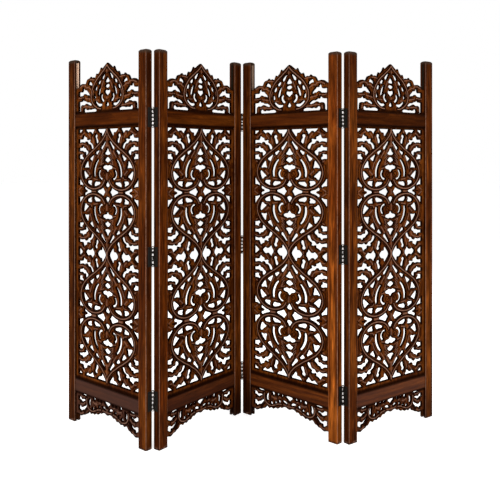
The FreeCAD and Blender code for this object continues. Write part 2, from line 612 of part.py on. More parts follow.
def board_side():
    """How far the side edge of a board lies inside the edge of its panel."""
    return size("stile_width") - size("groove_depth") + size("board_play")


def board_rectangle(low, high):
    """Outline of a plain board between two levels, reaching into both stiles' grooves."""
    left = board_side()
    right = size("panel_width") - left
    corners = [Vector(left, 0, low), Vector(right, 0, low), Vector(right, 0, high),
               Vector(left, 0, high)]
    return Part.makePolygon([*corners, corners[0]])


def board_with_edge(template, table, level):
    """Outline of a board with one straight edge in a rail's groove and one carved edge."""
    left = board_side()
    right = size("panel_width") - left
    start = template.points(table[0][:1], -1)[0]
    heel = [Vector(left, 0, level), Vector(left, 0, start.z), start]
    edges = [Part.makeLine(heel[0], heel[1]), Part.makeLine(heel[1], heel[2])]
    for run in table:
        edges.append(curve_through(template.points(run, -1)))
    for run in reversed(table):
        edges.append(curve_through(template.points(run[::-1], 1)))
    end = template.points(table[0][:1], 1)[0]
    toe = [end, Vector(right, 0, end.z), Vector(right, 0, level)]
    edges.append(Part.makeLine(toe[0], toe[1]))
    edges.append(Part.makeLine(toe[1], toe[2]))
    edges.append(Part.makeLine(toe[2], heel[0]))
    return Part.Wire(edges)


def build_board(node, outline, openings):
    """Make a board: a pierced face in the middle of the stiles' depth, extruded to thickness."""
    profile = doc.addObject("Part::Feature", f"{node}_profile")
    profile.Shape = Part.makeFace([outline, *openings], "Part::FaceMakerBullseye")
    profile.setExpression("Placement.Base.y", "(Sizes.stile_depth - Sizes.board_depth) / 2")
    board = doc.addObject("Part::Extrusion", node)
    board.Base = profile
    board.DirMode = "Custom"
    board.Dir = Vector(0, 1, 0)
    board.setExpression("LengthFwd", "Sizes.board_depth")
    board.Solid = True
    return board


def jali_openings():
    """Every opening of the jali board: four hearts, point up, down, up and down in turn."""
    wide = size("field_width") / 2 / TILE_SQUARES_WIDE
    high = size("heart_height") / TILE_SQUARES_HIGH
    field_low = jali_middle() - 2 * size("heart_height")
    apexes = [field_low + share * size("heart_height") for share, _ in HEART_SHARES]
    wires = []
    for apex, (_, down) in zip(apexes, HEART_SHARES):
        template = Template(wide, high, apex, down)
        wires += template.free(FREE_OPENING_SHARES)
        wires += template.border(BORDER_OPENING_SHARES)
        wires += template.middle_line(MIDDLE_OPENING_SHARES)

    # The lobes of two hearts face each other half way between their apexes.
    for upper, lower in (apexes[:2], apexes[2:]):
        template = Template(wide, high, (upper + lower) / 2 + size("heart_height"), down=True)
        wires += template.level_line(LOBE_OPENING_SHARES)

    # Where the middle two apexes meet, the openings of both run together.
    meeting = Template(wide, high, (apexes[1] + apexes[2]) / 2, down=True)
    wires += meeting.level_line(APEX_OPENING_SHARES)
    below = CORNER_OPENING_SHARES
    above = [(across, -along) for across, along in below[:0:-1]]
    wires += meeting.border([(*above, *below)])

    # Beside the rails they are cut straight.
    for apex, down in ((apexes[0], True), (apexes[3], False)):
        template = Template(wide, high, apex, down)
        wires += template.border(APEX_OPENING_SHARES)
        for side in (-1, 1):
            corner = template.points(((TILE_SQUARES_WIDE, 0),), side)[0]
            wires.append(bounded_wire(template.points(CORNER_OPENING_SHARES, side), corner))
    return wires


def bottom_rail_top():
    """Level of the bottom rail's top edge."""
    return size("bottom_rail_rise") + size("rail_height")


def top_rail_top():
    """Level of the top rail's top edge."""
    return size("screen_height") - size("top_rail_drop")


def jali_middle():
    """Level half way between the two rails."""
    return (bottom_rail_top() + top_rail_top() - size("rail_height")) / 2


def build_jali(node):
    """Make the pierced board between the rails, standing on the bottom rail's groove."""
    low = bottom_rail_top() - size("groove_depth")
    high = top_rail_top() - size("rail_height") + size("groove_depth") - size("board_play")
    return build_board(node, board_rectangle(low, high), jali_openings())


def build_crest(node):
    """Make the scrolled board above the top rail."""
    wide = size("field_width") / 2 / TILE_SQUARES_WIDE
    high = size("crest_height") / CREST_SQUARES_HIGH
    template = Template(wide, high, top_rail_top(), down=False)
    outline = board_with_edge(template, CREST_EDGE_SHARES, top_rail_top() - size("groove_depth"))
    openings = [*template.free(CREST_FREE_SHARES), *template.border(CREST_BORDER_SHARES),
                *template.middle_line(CREST_MIDDLE_SHARES)]
    return build_board(node, outline, openings)


def build_apron(node):
    """Make the scrolled board below the bottom rail, glued up into its groove."""
    wide = size("field_width") / 2 / TILE_SQUARES_WIDE
    high = size("apron_drop") / APRON_SQUARES_HIGH
    rail_bottom = size("bottom_rail_rise")
    template = Template(wide, high, rail_bottom, down=True)
    outline = board_with_edge(template, APRON_EDGE_SHARES, rail_bottom + size("groove_depth"))
    openings = [*template.free(APRON_FREE_SHARES), *template.border(APRON_BORDER_SHARES),
                *template.middle_line(APRON_MIDDLE_SHARES)]
    for middle, radius in APRON_ROUND_SHARES:
        for side in (-1, 1):
            centre = template.points((middle,), side)[0]
            circle = Part.makeCircle(radius * template.square_high, centre, Vector(0, 1, 0))
            openings.append(Part.Wire([circle]))
    return build_board(node, outline, openings)


def directed(sign, start, length):
    """Expressions for where a box starts and how long it is, measured along +X or -X."""
    if sign > 0:
        return f"({start})", f"({length})"
    return f"-({start}) - ({length})", f"({length})"


def box(name, starts, lengths):
    """Make a Part box from expressions for its corner and its sides."""
    solid = doc.addObject("Part::Box", name)
    for axis, start in zip("xyz", starts):
        solid.setExpression(f"Placement.Base.{axis}", start)
    for side, length in zip(("Length", "Width", "Height"), lengths):
        solid.setExpression(side, length)
    return solid


def upright(name, radius, low, high_length):
    """Make a Part cylinder along the pin axis."""
    solid = doc.addObject("Part::Cylinder", name)
    solid.setExpression("Radius", radius)
    solid.setExpression("Height", high_length)
    solid.setExpression("Placement.Base.z", low)
    return solid


def fuse(name, solids):
    """Join overlapping or touching solids into one."""
    joined = doc.addObject("Part::MultiFuse", name)
    joined.Shapes = solids
    joined.Refine = True
    return joined


def sideways(kind, name, sign, out, across, up):
    """Make a Part cone or cylinder that points along +X or -X, away from the pin axis."""
    solid = doc.addObject(kind, name)
    solid.Placement = FreeCAD.Placement(Vector(), FreeCAD.Rotation(Vector(0, 1, 0), sign * 90))
    for axis, text in zip("xyz", (out, across, up)):
        solid.setExpression(f"Placement.Base.{axis}", text)
    return solid


def screw_head(name, sign, wood, up_share, out_share, base):
    """Make the countersunk cone of one screw, from the leaf's free side to the wood."""
    out = f"{sign} * (Sizes.pin_side - Sizes.leaf_thickness)"
    across = f"{wood} * {out_share} * Sizes.leaf_reach"
    up = f"{base} + {up_share} * Sizes.hinge_height"
    cone = sideways("Part::Cone", name, sign, out, across, up)
    cone.setExpression("Radius1", "Sizes.screw_head_radius")
    cone.setExpression("Radius2", "Sizes.screw_radius")
    cone.setExpression("Height", "Sizes.leaf_thickness")
    return cone


def build_leaf(node, sign, wood, hinge, outer_knuckles):
    """Make a hinge leaf about the pin axis at X 0, Y 0, with Z from the floor.

    sign is the way along X to the leaf's stile, wood the way along Y from the pin to the wood.
    The leaf has knuckles 1, 3 and 5 of the barrel, or the two between them.
    """
    base = f"(Sizes.{hinge} - Sizes.hinge_height / 2)"
    thick = "Sizes.leaf_thickness"
    inner = f"Sizes.pin_side - {thick}"
    root = "(Sizes.barrel_radius + Sizes.knuckle_gap)"
    across, wide = directed(sign, inner, thick)
    along, deep = directed(wood, root, f"Sizes.leaf_reach - {root}")
    solids = [box(f"{node}_plate", (across, along, base), (wide, deep, "Sizes.hinge_height"))]
    step = f"((Sizes.hinge_height + Sizes.knuckle_gap) / {KNUCKLES})"
    tall = f"({step} - Sizes.knuckle_gap)"
    along, deep = directed(wood, "0", root)
    for index in range(0 if outer_knuckles else 1, KNUCKLES, 2):
        low = f"{base} + {index} * {step}"
        solids.append(box(f"{node}_neck_{index}", (across, along, low), (wide, deep, tall)))
        solids.append(upright(f"{node}_knuckle_{index}", "Sizes.barrel_radius", low, tall))
    body = fuse(f"{node}_blank", solids)
    tools = [upright(f"{node}_bore", "Sizes.pin_radius + Sizes.pin_clearance", base,
                     "Sizes.hinge_height")]
    for number, (up_share, out_share) in enumerate(SCREW_SHARES, start=1):
        tools.append(screw_head(f"{node}_sink_{number}", sign, wood, up_share, out_share, base))
    cutters = doc.addObject("Part::Compound", f"{node}_cutters")
    cutters.Links = tools
    leaf = doc.addObject("Part::Cut", node)
    leaf.Base = body
    leaf.Tool = cutters
    return leaf


def build_screws(node, sign, wood):
    """Make the nine screws that hold one panel edge's three leaves, about the pin axis."""
    screws = []
    for hinge in HINGES:
        base = f"(Sizes.{hinge} - Sizes.hinge_height / 2)"
        for number, (up_share, out_share) in enumerate(SCREW_SHARES, start=1):
            name = f"{node}_{HINGE_NAMES[hinge]}_{number}"
            head = screw_head(f"{name}_head", sign, wood, up_share, out_share, base)
            out = f"{sign} * Sizes.pin_side"
            across = f"{wood} * {out_share} * Sizes.leaf_reach"
            up = f"{base} + {up_share} * Sizes.hinge_height"
            shank = sideways("Part::Cylinder", f"{name}_shank", sign, out, across, up)
            shank.setExpression("Radius", "Sizes.screw_radius")
            shank.setExpression("Height", "Sizes.screw_length")
            screws.append(fuse(name, [head, shank]))
    group = doc.addObject("Part::Compound", node)
    group.Links = screws
    return group


def build_pins(node):
    """Make the three pins of one fold, each with a button at both ends, about the pin axis."""
    pins = []
    for hinge in HINGES:
        base = f"(Sizes.{hinge} - Sizes.hinge_height / 2)"
        name = f"{node}_{HINGE_NAMES[hinge]}"
        shaft = upright(f"{name}_shaft", "Sizes.pin_radius", base, "Sizes.hinge_height")
        low = upright(f"{name}_low_button", "Sizes.barrel_radius",
                      f"{base} - Sizes.pin_head_height", "Sizes.pin_head_height")
        high = upright(f"{name}_high_button", "Sizes.barrel_radius",
                       f"{base} + Sizes.hinge_height", "Sizes.pin_head_height")
        pins.append(fuse(name, [shaft, low, high]))
    group = doc.addObject("Part::Compound", node)
    group.Links = pins
    return group


def turned(vector, turn):
    """Turn a vector about Z by an angle in degrees."""
    return FreeCAD.Rotation(Vector(0, 0, 1), turn).multVec(vector)


def pin_place(face, right):
    """Where a fold's pin axis stands in a panel's frame, beside its right or left edge."""
    across = size("panel_width") + size("pin_side") if right else -size("pin_side")
    along = size("stile_depth") + size("pin_offset") if face == "back" else -size("pin_offset")
    return Vector(across, along, 0)


def row_places():
    """Return each panel's placement in the row at rest, by number.

    The panels are chained by their pins from the first one, then the row is moved so that the
    middle of its bounding box is over the origin. The box touches the rounded arrises.
    """
    corners = {1: Vector()}
    for left, right, face in FOLDS:
        pin = corners[left] + turned(pin_place(face, right=True), size(f"panel_{left}_turn"))
        corners[right] = pin - turned(pin_place(face, right=False), size(f"panel_{right}_turn"))
    arris = size("arris_radius")
    extremes = []
    for number, corner in corners.items():
        for across in (arris, size("panel_width") - arris):
            for along in (arris, size("stile_depth") - arris):
                middle = Vector(across, along, 0)
                extremes.append(corner + turned(middle, size(f"panel_{number}_turn")))
    shift = Vector(sum(pick(point.x for point in extremes) for pick in (min, max)) / -2,
                   sum(pick(point.y for point in extremes) for pick in (min, max)) / -2, 0)
    places = {}
    for number, corner in corners.items():
        rotation = FreeCAD.Rotation(Vector(0, 0, 1), size(f"panel_{number}_turn"))
        places[number] = FreeCAD.Placement(corner + shift, rotation)
    return places


def moved(across, along, up):
    """Return a placement that only moves."""
    return FreeCAD.Placement(Vector(across, along, up), FreeCAD.Rotation())


def build_panel(number, place, pin_faces):
    """Make one panel's frame and boards. pin_faces maps its left and right edges to pin faces."""
    name = f"panel_{number}"
    width = size("panel_width")
    flipped = {"front": "back", "back": "front", None: None}
    about = FreeCAD.Placement(Vector(width, size("stile_depth"), 0),
                              FreeCAD.Rotation(Vector(0, 0, 1), 180))
    rail_inset = (size("stile_depth") - size("rail_depth")) / 2
    nodes = [
        (build_stile(f"{name}_left_stile", pin_faces["left"]), FreeCAD.Placement()),
        (build_stile(f"{name}_right_stile", flipped[pin_faces["right"]]), about),
        (build_rail(f"{name}_top_rail"),
         moved(size("stile_width"), rail_inset, top_rail_top() - size("rail_height"))),
        (build_rail(f"{name}_bottom_rail"),
         moved(size("stile_width"), rail_inset, size("bottom_rail_rise"))),
        (build_jali(f"{name}_jali"), FreeCAD.Placement()),
        (build_crest(f"{name}_crest"), FreeCAD.Placement()),
        (build_apron(f"{name}_apron"), FreeCAD.Placement()),
    ]
    return [(node, place * local) for node, local in nodes]


def build_hinges(left, right, face, places):
    """Make the three hinges of one fold: leaves, pins and screws."""
    wood = -1 if face == "back" else 1
    nodes = []
    for number, side, sign, outer in ((left, "right", -1, True), (right, "left", 1, False)):
        axis = pin_place(face, right=side == "right")
        place = places[number] * moved(axis.x, axis.y, 0)
        for hinge in HINGES:
            name = f"panel_{number}_{side}_{HINGE_NAMES[hinge]}_hinge_leaf"
            nodes.append((build_leaf(name, sign, wood, hinge, outer), place))
        nodes.append((build_screws(f"panel_{number}_{side}_hinge_screws", sign, wood), place))
        if outer:
            nodes.append((build_pins(f"fold_{left}_{right}_hinge_pins"), place))
    return nodes


def check_objects():
    """Stop if an object failed, or if a pocket cut nothing."""
    for item in doc.Objects:
        if "Invalid" in item.State or "Error" in item.State:
            raise RuntimeError(f"{item.Name} failed: {item.State}")
        if item.TypeId == "PartDesign::Pocket":
            if item.Shape.Volume >= item.BaseFeature.Shape.Volume:
                raise RuntimeError(f"{item.Name} cuts nothing")


def main():
    fill_sheet()
    places = row_places()
    faces = {number: {"left": None, "right": None} for number in PANELS}
    for left, right, face in FOLDS:
        faces[left]["right"] = face
        faces[right]["left"] = face
    nodes = []
    for number in PANELS:
        nodes += build_panel(number, places[number], faces[number])
    for left, right, face in FOLDS:
        nodes += build_hinges(left, right, face, places)
    for node, place in nodes:
        node.Placement = place
    doc.recompute()
    check_objects()
    os.makedirs("parts", exist_ok=True)
    for node, place in nodes:
        node.Label = node.Name
        if node.Shape.isNull() or not node.Shape.isValid():
            raise RuntimeError(f"{node.Label} has no valid shape")
        node.Shape.exportStep(f"parts/{node.Label}.step")
        print(node.Label, len(node.Shape.Solids), "solids", round(node.Shape.Volume), "mm3")


main()
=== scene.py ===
"""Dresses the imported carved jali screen: carved relief, stained wood and black iron."""
import math
from functools import partialmethod

import bmesh
import bpy
import numpy as np
from mathutils import Matrix, Vector
from mathutils.geometry import delaunay_2d_cdt
from mathutils.kdtree import KDTree


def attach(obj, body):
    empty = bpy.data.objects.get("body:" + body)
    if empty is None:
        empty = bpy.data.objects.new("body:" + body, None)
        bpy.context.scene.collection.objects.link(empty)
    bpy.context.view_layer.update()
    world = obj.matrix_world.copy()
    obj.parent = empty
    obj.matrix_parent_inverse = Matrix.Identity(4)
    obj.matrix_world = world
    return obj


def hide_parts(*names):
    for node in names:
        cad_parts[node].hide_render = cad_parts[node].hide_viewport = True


bl_info = {
    "name": "Carved Jali Screen",
    "version": (1, 0, 0),
    "blender": (4, 5, 0),
    "location": "View3D > Sidebar > Jali Screen",
    "description": "Carves and finishes a folding screen of pierced wooden panels",
    "category": "Add Mesh",
}

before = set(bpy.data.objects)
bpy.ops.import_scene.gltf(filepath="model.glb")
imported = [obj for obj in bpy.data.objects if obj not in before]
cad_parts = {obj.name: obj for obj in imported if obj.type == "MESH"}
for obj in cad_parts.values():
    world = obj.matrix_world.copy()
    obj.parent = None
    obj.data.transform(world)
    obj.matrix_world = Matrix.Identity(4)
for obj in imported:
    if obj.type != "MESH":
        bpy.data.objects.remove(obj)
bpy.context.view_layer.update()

PANELS = (1, 2, 3, 4)
MM = 0.001

# How far apart the points of the boards' meshes stand, in metres.
OUTLINE_GAP = 0.0029
LINE_GAP = 0.0034
GRID_GAP = 0.0048
LEAST_GAP = 0.0013

# Carved lines of the heart, read off the photograph in squares of the carver's template: out from
# the panel's middle line (196 squares to the plain border), then from the apex line to the lobe
# line.
HEART_SQUARES_HIGH = 256
HEART_BEAD = (
    (0, 0), (3, 12), (10, 25.5), (20, 36.5), (30, 46.5), (40, 54.5), (50, 61), (60, 67.5),
    (70, 74.5), (80, 80.5), (90, 86), (100, 91.5), (110, 97.5), (120, 104), (130, 110.5),
    (140, 117.5), (150, 126.5), (160, 138), (168, 150), (173, 161), (175.5, 172), (176, 182),
    (173.5, 193), (168.5, 204), (161, 215), (151, 225), (140, 232.5), (129, 238), (117, 242),
    (105, 244.5), (95, 245.5), (85, 245.5), (75, 244.7), (65, 243), (55, 240.5), (45, 236.5),
    (35, 231.5), (27, 225), (20, 217), (15, 208),
)
HEART_RIBS = (
    ((11, 68), (18, 79), (27, 90)), ((24, 94), (30, 103), (38, 111)),
    ((23, 105), (30, 114), (38, 121)), ((23, 115), (29, 123), (36, 131)),
    ((23, 125), (30, 132), (40, 141)), ((38, 88), (46, 97), (54, 107), (62, 117)),
    ((78, 110), (90, 124), (101, 138), (107, 152), (112, 164)),
    ((112, 186), (121, 178), (131, 171)), ((103, 196), (113, 203), (126, 205)),
    ((62, 206), (74, 206), (88, 203)), ((40, 158), (48, 159), (58, 162)),
    ((22, 140), (32, 143), (42, 148)), ((0, 28), (0, 48), (0, 72)), ((0, 180), (0, 206)),
    ((100, 28), (94, 42), (88, 60)), ((127, 20), (117, 28), (110, 38)), ((77, 6), (76, 18)),
    ((150, 14), (160, 18), (172, 28), (186, 28)), ((122, 86), (128, 74), (140, 65)),
    ((146, 64), (158, 61), (172, 61), (188, 64)), ((158, 104), (172, 99), (188, 97)),
    ((172, 136), (184, 130)), ((172, 240), (182, 246), (192, 252)), ((0, 246), (0, 256)),
    ((93, 220), (96, 232)), ((100, 256), (86, 256), (74, 256)),
)
HEART_CUTS = (
    ((27, 30), (35, 35), (43, 42), (50, 48)),
    ((60, 60), (72, 64), (82, 69)),
    ((97, 82), (108, 86), (119, 91)),
    ((144, 110), (151, 114), (158, 116)),
    ((20, 99), (27, 105), (34, 112)),
    ((20, 110), (28, 116), (36, 123)),
    ((19, 119), (26, 125), (32, 132)),
    ((20, 129), (26, 135), (31, 141)),
    ((38, 149), (46, 154), (56, 156)),
    ((94, 134), (99, 147), (103, 162)),
    ((104, 188), (111, 193), (119, 193)),
    ((110, 199), (122, 200), (131, 203)),
    ((34, 212), (46, 213), (58, 212)),
    ((62, 201), (74, 201)),
    ((166, 128), (172, 136), (180, 144)),
    ((187, 146), (190, 164), (191, 182), (189, 198)),
    ((150, 234), (156, 238)),
    ((18, 231), (27, 237)),
    ((72, 17), (84, 19)),
    ((90, 20), (98, 27), (104, 38)),
    ((162, 8), (172, 16), (186, 22)),
    ((12, 176), (12, 190), (20, 197), (30, 193), (34, 184), (29, 175), (20, 174), (17, 183),
     (23, 188)),
    ((150, 256), (160, 256), (168, 256)),
)

# Carved lines of the crest, in template squares out from the middle line and up from the rail.
CREST_SQUARES_HIGH = 201
CREST_BEAD = (
    (0, 192), (6, 185), (13, 177.5), (22, 170), (32, 163), (42, 155), (52, 148), (62, 141),
    (70, 134), (78, 126), (86, 116), (93, 106), (99, 95), (103, 84), (104.5, 72), (104, 60),
    (101, 50), (95, 41), (87, 33), (77, 26), (65, 20), (52, 16), (40, 15),
)
CREST_RIBS = (
    ((0, 160), (0, 174)), ((22, 128), (28, 116), (34, 104)), ((36, 96), (40, 106), (46, 112)),
    ((0, 54), (0, 66)), ((56, 52), (68, 50.5), (82, 52)), ((84, 136), (98, 139), (116, 139)),
    ((108, 98), (124, 107), (142, 107)), ((142, 113), (154, 116.5), (168, 116), (186, 109)),
    ((112, 58), (130, 61), (148, 64)), ((158, 67), (174, 65), (192, 66)),
    ((94, 23), (116, 25.5), (140, 28), (160, 27)), ((172, 24), (174, 10)),
    ((90, 66), (94, 80), (90, 92)),
)
CREST_CUTS = (
    ((28, 80), (34, 79), (38, 74)), ((8, 52), (17, 55), (21, 63), (16, 71), (9, 72)),
    ((56, 58), (59, 68)), ((78, 74), (84, 79), (82, 88)), ((62, 114), (70, 116)),
    ((40, 137), (50, 138)), ((104, 133), (116, 134)), ((112, 108), (100, 106), (94, 112)),
    ((150, 60), (158, 61), (168, 64)), ((110, 64), (118, 68), (130, 68)),
    ((36, 21), (50, 20), (64, 23)), ((4, 161), (13, 162), (22, 160)),
)

# Carved lines of the apron, in template squares out from the middle line and down from the rail.
APRON_BEAD = (
    (135, 18), (136.5, 28), (135.5, 38), (131, 48), (124, 56), (112, 61), (98, 62.5), (86, 59.5),
    (75, 55), (64, 49.5), (52, 46), (40, 45),
)
APRON_RIBS = (
    ((94, 22), (80, 27), (66, 26)), ((50, 16), (42, 20)), ((150, 16), (164, 17), (178, 14)),
    ((148, 38), (160, 47), (176, 48)), ((138, 66), (150, 76), (166, 86), (184, 90)),
    ((0, 34), (12, 35)), ((0, 46), (14, 45), (28, 43)),
)
APRON_CUTS = (
    ((30, 12), (48, 12), (66, 12), (78, 18)), ((96, 14), (102, 26), (102, 40), (96, 46)),
    ((46, 26), (54, 29)), ((72, 38), (88, 36)), ((140, 20), (150, 22)),
    ((130, 58), (142, 70), (156, 80)), ((184, 44), (176, 40)), ((0, 27), (12, 25)),
)

BOARD_TABLES = {
    "jali": {"bead": (HEART_BEAD,), "rib": HEART_RIBS, "cut": HEART_CUTS},
    "crest": {"bead": (CREST_BEAD,), "rib": CREST_RIBS, "cut": CREST_CUTS},
    "apron": {"bead": (APRON_BEAD,), "rib": APRON_RIBS, "cut": APRON_CUTS},
}

# The hearts' apexes above the jali's middle, in heart heights, and which way each heart points.
HEART_LEVELS = ((2.017, -1), (0.015, 1), (0.032, -1), (-1.984, 1))

# How strongly the stain of each piece shows the wood: below one is darker, above one is lighter.
STAIN_STRENGTHS = {
    "left_stile": (0.70, 1.22, 0.83, 1.02),
    "right_stile": (1.08, 1.18, 2.20, 1.00),
    "top_rail": (0.81, 0.84, 0.95, 0.57),
    "bottom_rail": (0.78, 0.83, 1.10, 1.42),
    "jali": (1.01, 0.90, 0.99, 0.92),
    "crest": (0.95, 0.89, 0.94, 0.91),
    "apron": (0.84, 0.76, 0.85, 0.79),
}

# How bare of stain the groove of each stile is, how dark its foot, and how much painted sheen
# each low piece shows.
PIECE_MARKS = {
    "bare": {"left_stile": (1.0, 0.05, 0.35, 0.05), "right_stile": (0.05, 0.0, 0.05, 0.0)},
    "foot": {"left_stile": (0.2, 0.1, 0.85, 0.1), "right_stile": (0.0, 0.85, 0.0, 0.4)},
    "haze": {"top_rail": (0.0, 0.0, 0.05, 0.0), "bottom_rail": (0.65, 0.15, 0.1, 0.45),
             "apron": (0.55, 0.0, 0.1, 0.1)},
}


def metres(name, description, default):
    """Return a property for a length."""
    return bpy.props.FloatProperty(name=name, description=description, default=default,
                                   min=0.0001, unit="LENGTH")


def tint(name, description, default):
    """Return a property for a colour."""
    return bpy.props.FloatVectorProperty(name=name, description=description, default=default,
                                         subtype="COLOR", size=3, min=0.0, max=1.0)


class JaliSizes(bpy.types.PropertyGroup):
    """Sizes of the carving, in metres."""

    roll_depth: metres("Roll depth", "How far the carved faces fall away at an opening", 0.0014)
    roll_width: metres("Roll width", "How far from an opening the faces begin to fall", 0.0050)
    bead_width: metres("Bead width", "Half the width of the bead round a heart", 0.0029)
    bead_height: metres("Bead height", "How far the bead stands out of the face", 0.0014)
    groove_width: metres("Groove width", "Half the width of the gouge cut beside a bead", 0.0026)
    groove_depth: metres("Groove depth", "Depth of the gouge cuts", 0.0019)
    cut_width: metres("Cut width", "Half the width of a cut between a leaf's ribs", 0.0024)
    rim_width: metres("Rim width", "How far the painted shade reaches round an opening", 0.0050)
    rib_width: metres("Rib width", "Half the width of a rib on a leaf", 0.0024)
    rib_height: metres("Rib height", "How far a rib stands out of its leaf", 0.0009)


class JaliColours(bpy.types.PropertyGroup):
    """Stain colours of the wood and of its scuffs, the colours of its painted highlights, shade
    and sheen, and the colours of the iron and of its painted glints.
    """

    stain: tint("Stain", "Stained face of the wood", (0.064, 0.0128, 0.0014))
    # Real stain in open grain; the stiles also use it for painted shade on their side faces and
    # to grow darker towards the top.
    dark_stain_and_shade: tint("Dark stain", "Stain where the grain is open, also painted shade on the stiles' side faces", (0.015, 0.0028, 0.0007))
    stain_warm: tint("Warm stain", "Stain where the wood shows through", (0.150, 0.038, 0.0045))
    # Painted highlight colour for the arrises, beads and ribs; the scuffs at the stiles' feet use
    # it too.
    rubbed: tint("Highlight and scuff", "Painted highlight on arrises, beads and ribs, and scuffs at the stiles' feet", (0.290, 0.155, 0.105))
    # Near-black painted shade for the cuts, the rims of the openings and where boards and rails
    # meet; the stiles' feet are darkened to it too.
    painted_shade: tint("Painted shade", "Near-black painted shade in cuts, round openings and where boards and rails meet; the stiles' feet are darkened to it too", (0.009, 0.0022, 0.0008))
    raw_wood: tint("Raw wood", "Unstained wood in the stiles' grooves", (0.80, 0.56, 0.40))
    dark_groove: tint("Dark groove", "Darker colour of the grooves that are not left bare", (0.024, 0.014, 0.008))
    # Painted reflection: a greyish sheen painted on the lower pieces.
    haze: tint("Painted sheen", "Painted greyish sheen on the lower pieces", (0.070, 0.034, 0.026))
    end_grain: tint("End grain", "Stain on the stiles' rounded tops", (0.042, 0.025, 0.016))
    # Painted glint colour for the hinge knuckles.
    knuckle_glint: tint("Knuckle glint", "Painted glints on the hinge knuckles", (0.88, 0.84, 0.82))
    iron: tint("Iron", "Black paint of the hinges", (0.0045, 0.0038, 0.0030))
    bare_iron: tint("Bare iron", "Specks where the paint is thin", (0.020, 0.015, 0.011))


def sizes():
    """Return the scene's carving sizes."""
    return bpy.context.scene.jali_sizes


def colours():
    """Return the scene's finish colours."""
    return bpy.context.scene.jali_colours


def mesh_points(mesh):
    """Return a mesh's vertices as an array."""
    flat = np.zeros(len(mesh.vertices) * 3)
    mesh.vertices.foreach_get("co", flat)
    return flat.reshape(-1, 3)


def node_points(node):
    """Return a CAD node's vertices as an array, in the row frame."""
    return mesh_points(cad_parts[node].data)


def store(mesh, name, values):
    """Store a number or a vector for each of a mesh's points."""
    kind, field = ("FLOAT", "value") if values.ndim == 1 else ("FLOAT_VECTOR", "vector")
    mesh.attributes.new(name, kind, "POINT").data.foreach_set(field, values.ravel())


def new_object(name, data):
    """Return a new object, linked to the scene."""
    made = bpy.data.objects.new(name, data)
    bpy.context.scene.collection.objects.link(made)
    return made


def panel_place(number):
    """Return the matrix from a panel's own frame (X along, Y to the back) to the row frame."""
    board = np.unique(np.round(node_points(f"panel_{number}_jali"), 6), axis=0)
    flat = board[:, :2] - board[:, :2].mean(axis=0)
    _, axes = np.linalg.eigh(flat.T @ flat)
    along = axes[:, 1] * np.sign(axes[0, 1])
    across = np.array((-along[1], along[0]))
    stile = node_points(f"panel_{number}_left_stile")[:, :2]
    corner = along * (stile @ along).min() + across * (stile @ across).min()
    return Matrix(((along[0], across[0], 0, corner[0]), (along[1], across[1], 0, corner[1]),
                   (0, 0, 1, 0), (0, 0, 0, 1)))


PLACES = {number: panel_place(number) for number in PANELS}
PANEL_WIDTH = max((PLACES[1].inverted() @ Vector(point)).x
                  for point in node_points("panel_1_right_stile"))
MIDDLE = PANEL_WIDTH / 2


def local_points(node, number=1):
    """Return a node's vertices in its panel's frame."""
    inverse = np.array(PLACES[number].inverted())
    return node_points(node) @ inverse[:3, :3].T + inverse[:3, 3]


def local_box(node, number=1):
    """Return a node's lowest and highest corners in its panel's frame."""
    points = local_points(node, number)
    return points.min(axis=0), points.max(axis=0)


def front_loops(node):
    """Return the outlines of a board's front face, in panel 1's frame, as arrays of (X, Z)."""
    copy = bmesh.new()
    copy.from_mesh(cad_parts[node].data)
    copy.transform(PLACES[1].inverted())
    bmesh.ops.remove_doubles(copy, verts=copy.verts, dist=0.00001)
    copy.normal_update()
    links = {}
    for edge in copy.edges:
        fronts = [face for face in edge.link_faces if face.normal.y < -0.99]
        if len(fronts) == 1:
            start, end = edge.verts
            links.setdefault(start.index, []).append(end.index)
            links.setdefault(end.index, []).append(start.index)
    copy.verts.ensure_lookup_table()
    loops = []
    left = set(links)
    while left:
        loop = [left.pop()]
        while True:
            onward = [index for index in links[loop[-1]] if index in left]
            if not onward:
                break
            loop.append(onward[0])
            left.discard(onward[0])
        loops.append(np.array([(copy.verts[index].co.x, copy.verts[index].co.z)
                               for index in loop]))
    copy.free()
    return loops


def turn_at(points):
    """Return how sharply a closed outline turns at each point, in radians."""
    ahead = np.roll(points, -1, axis=0) - points
    behind = points - np.roll(points, 1, axis=0)
    cross = behind[:, 0] * ahead[:, 1] - behind[:, 1] * ahead[:, 0]
    return np.abs(np.arctan2(cross, (behind * ahead).sum(axis=1)))


def spaced(points, gap):
    """Return points spaced evenly along a polyline, its two ends kept."""
    steps = np.linalg.norm(np.diff(points, axis=0), axis=1)
    along = np.concatenate(([0.0], np.cumsum(steps)))
    count = max(1, round(along[-1] / gap))
    marks = np.linspace(0.0, along[-1], count + 1)
    return np.column_stack([np.interp(marks, along, points[:, axis]) for axis in (0, 1)])


def spaced_loop(points, gap, sharp=0.6):
    """Return a closed outline spaced evenly between its sharp corners."""
    corners = np.flatnonzero(turn_at(points) > sharp)
    start = corners[0] if len(corners) else 0
    points = np.roll(points, -start, axis=0)
    corners = [*(corners - start), len(points)] if len(corners) else [0, len(points)]
    closed = np.vstack((points, points[:1]))
    runs = [spaced(closed[first:last + 1], gap)[:-1]
            for first, last in zip(corners, corners[1:])]
    return np.vstack(runs)


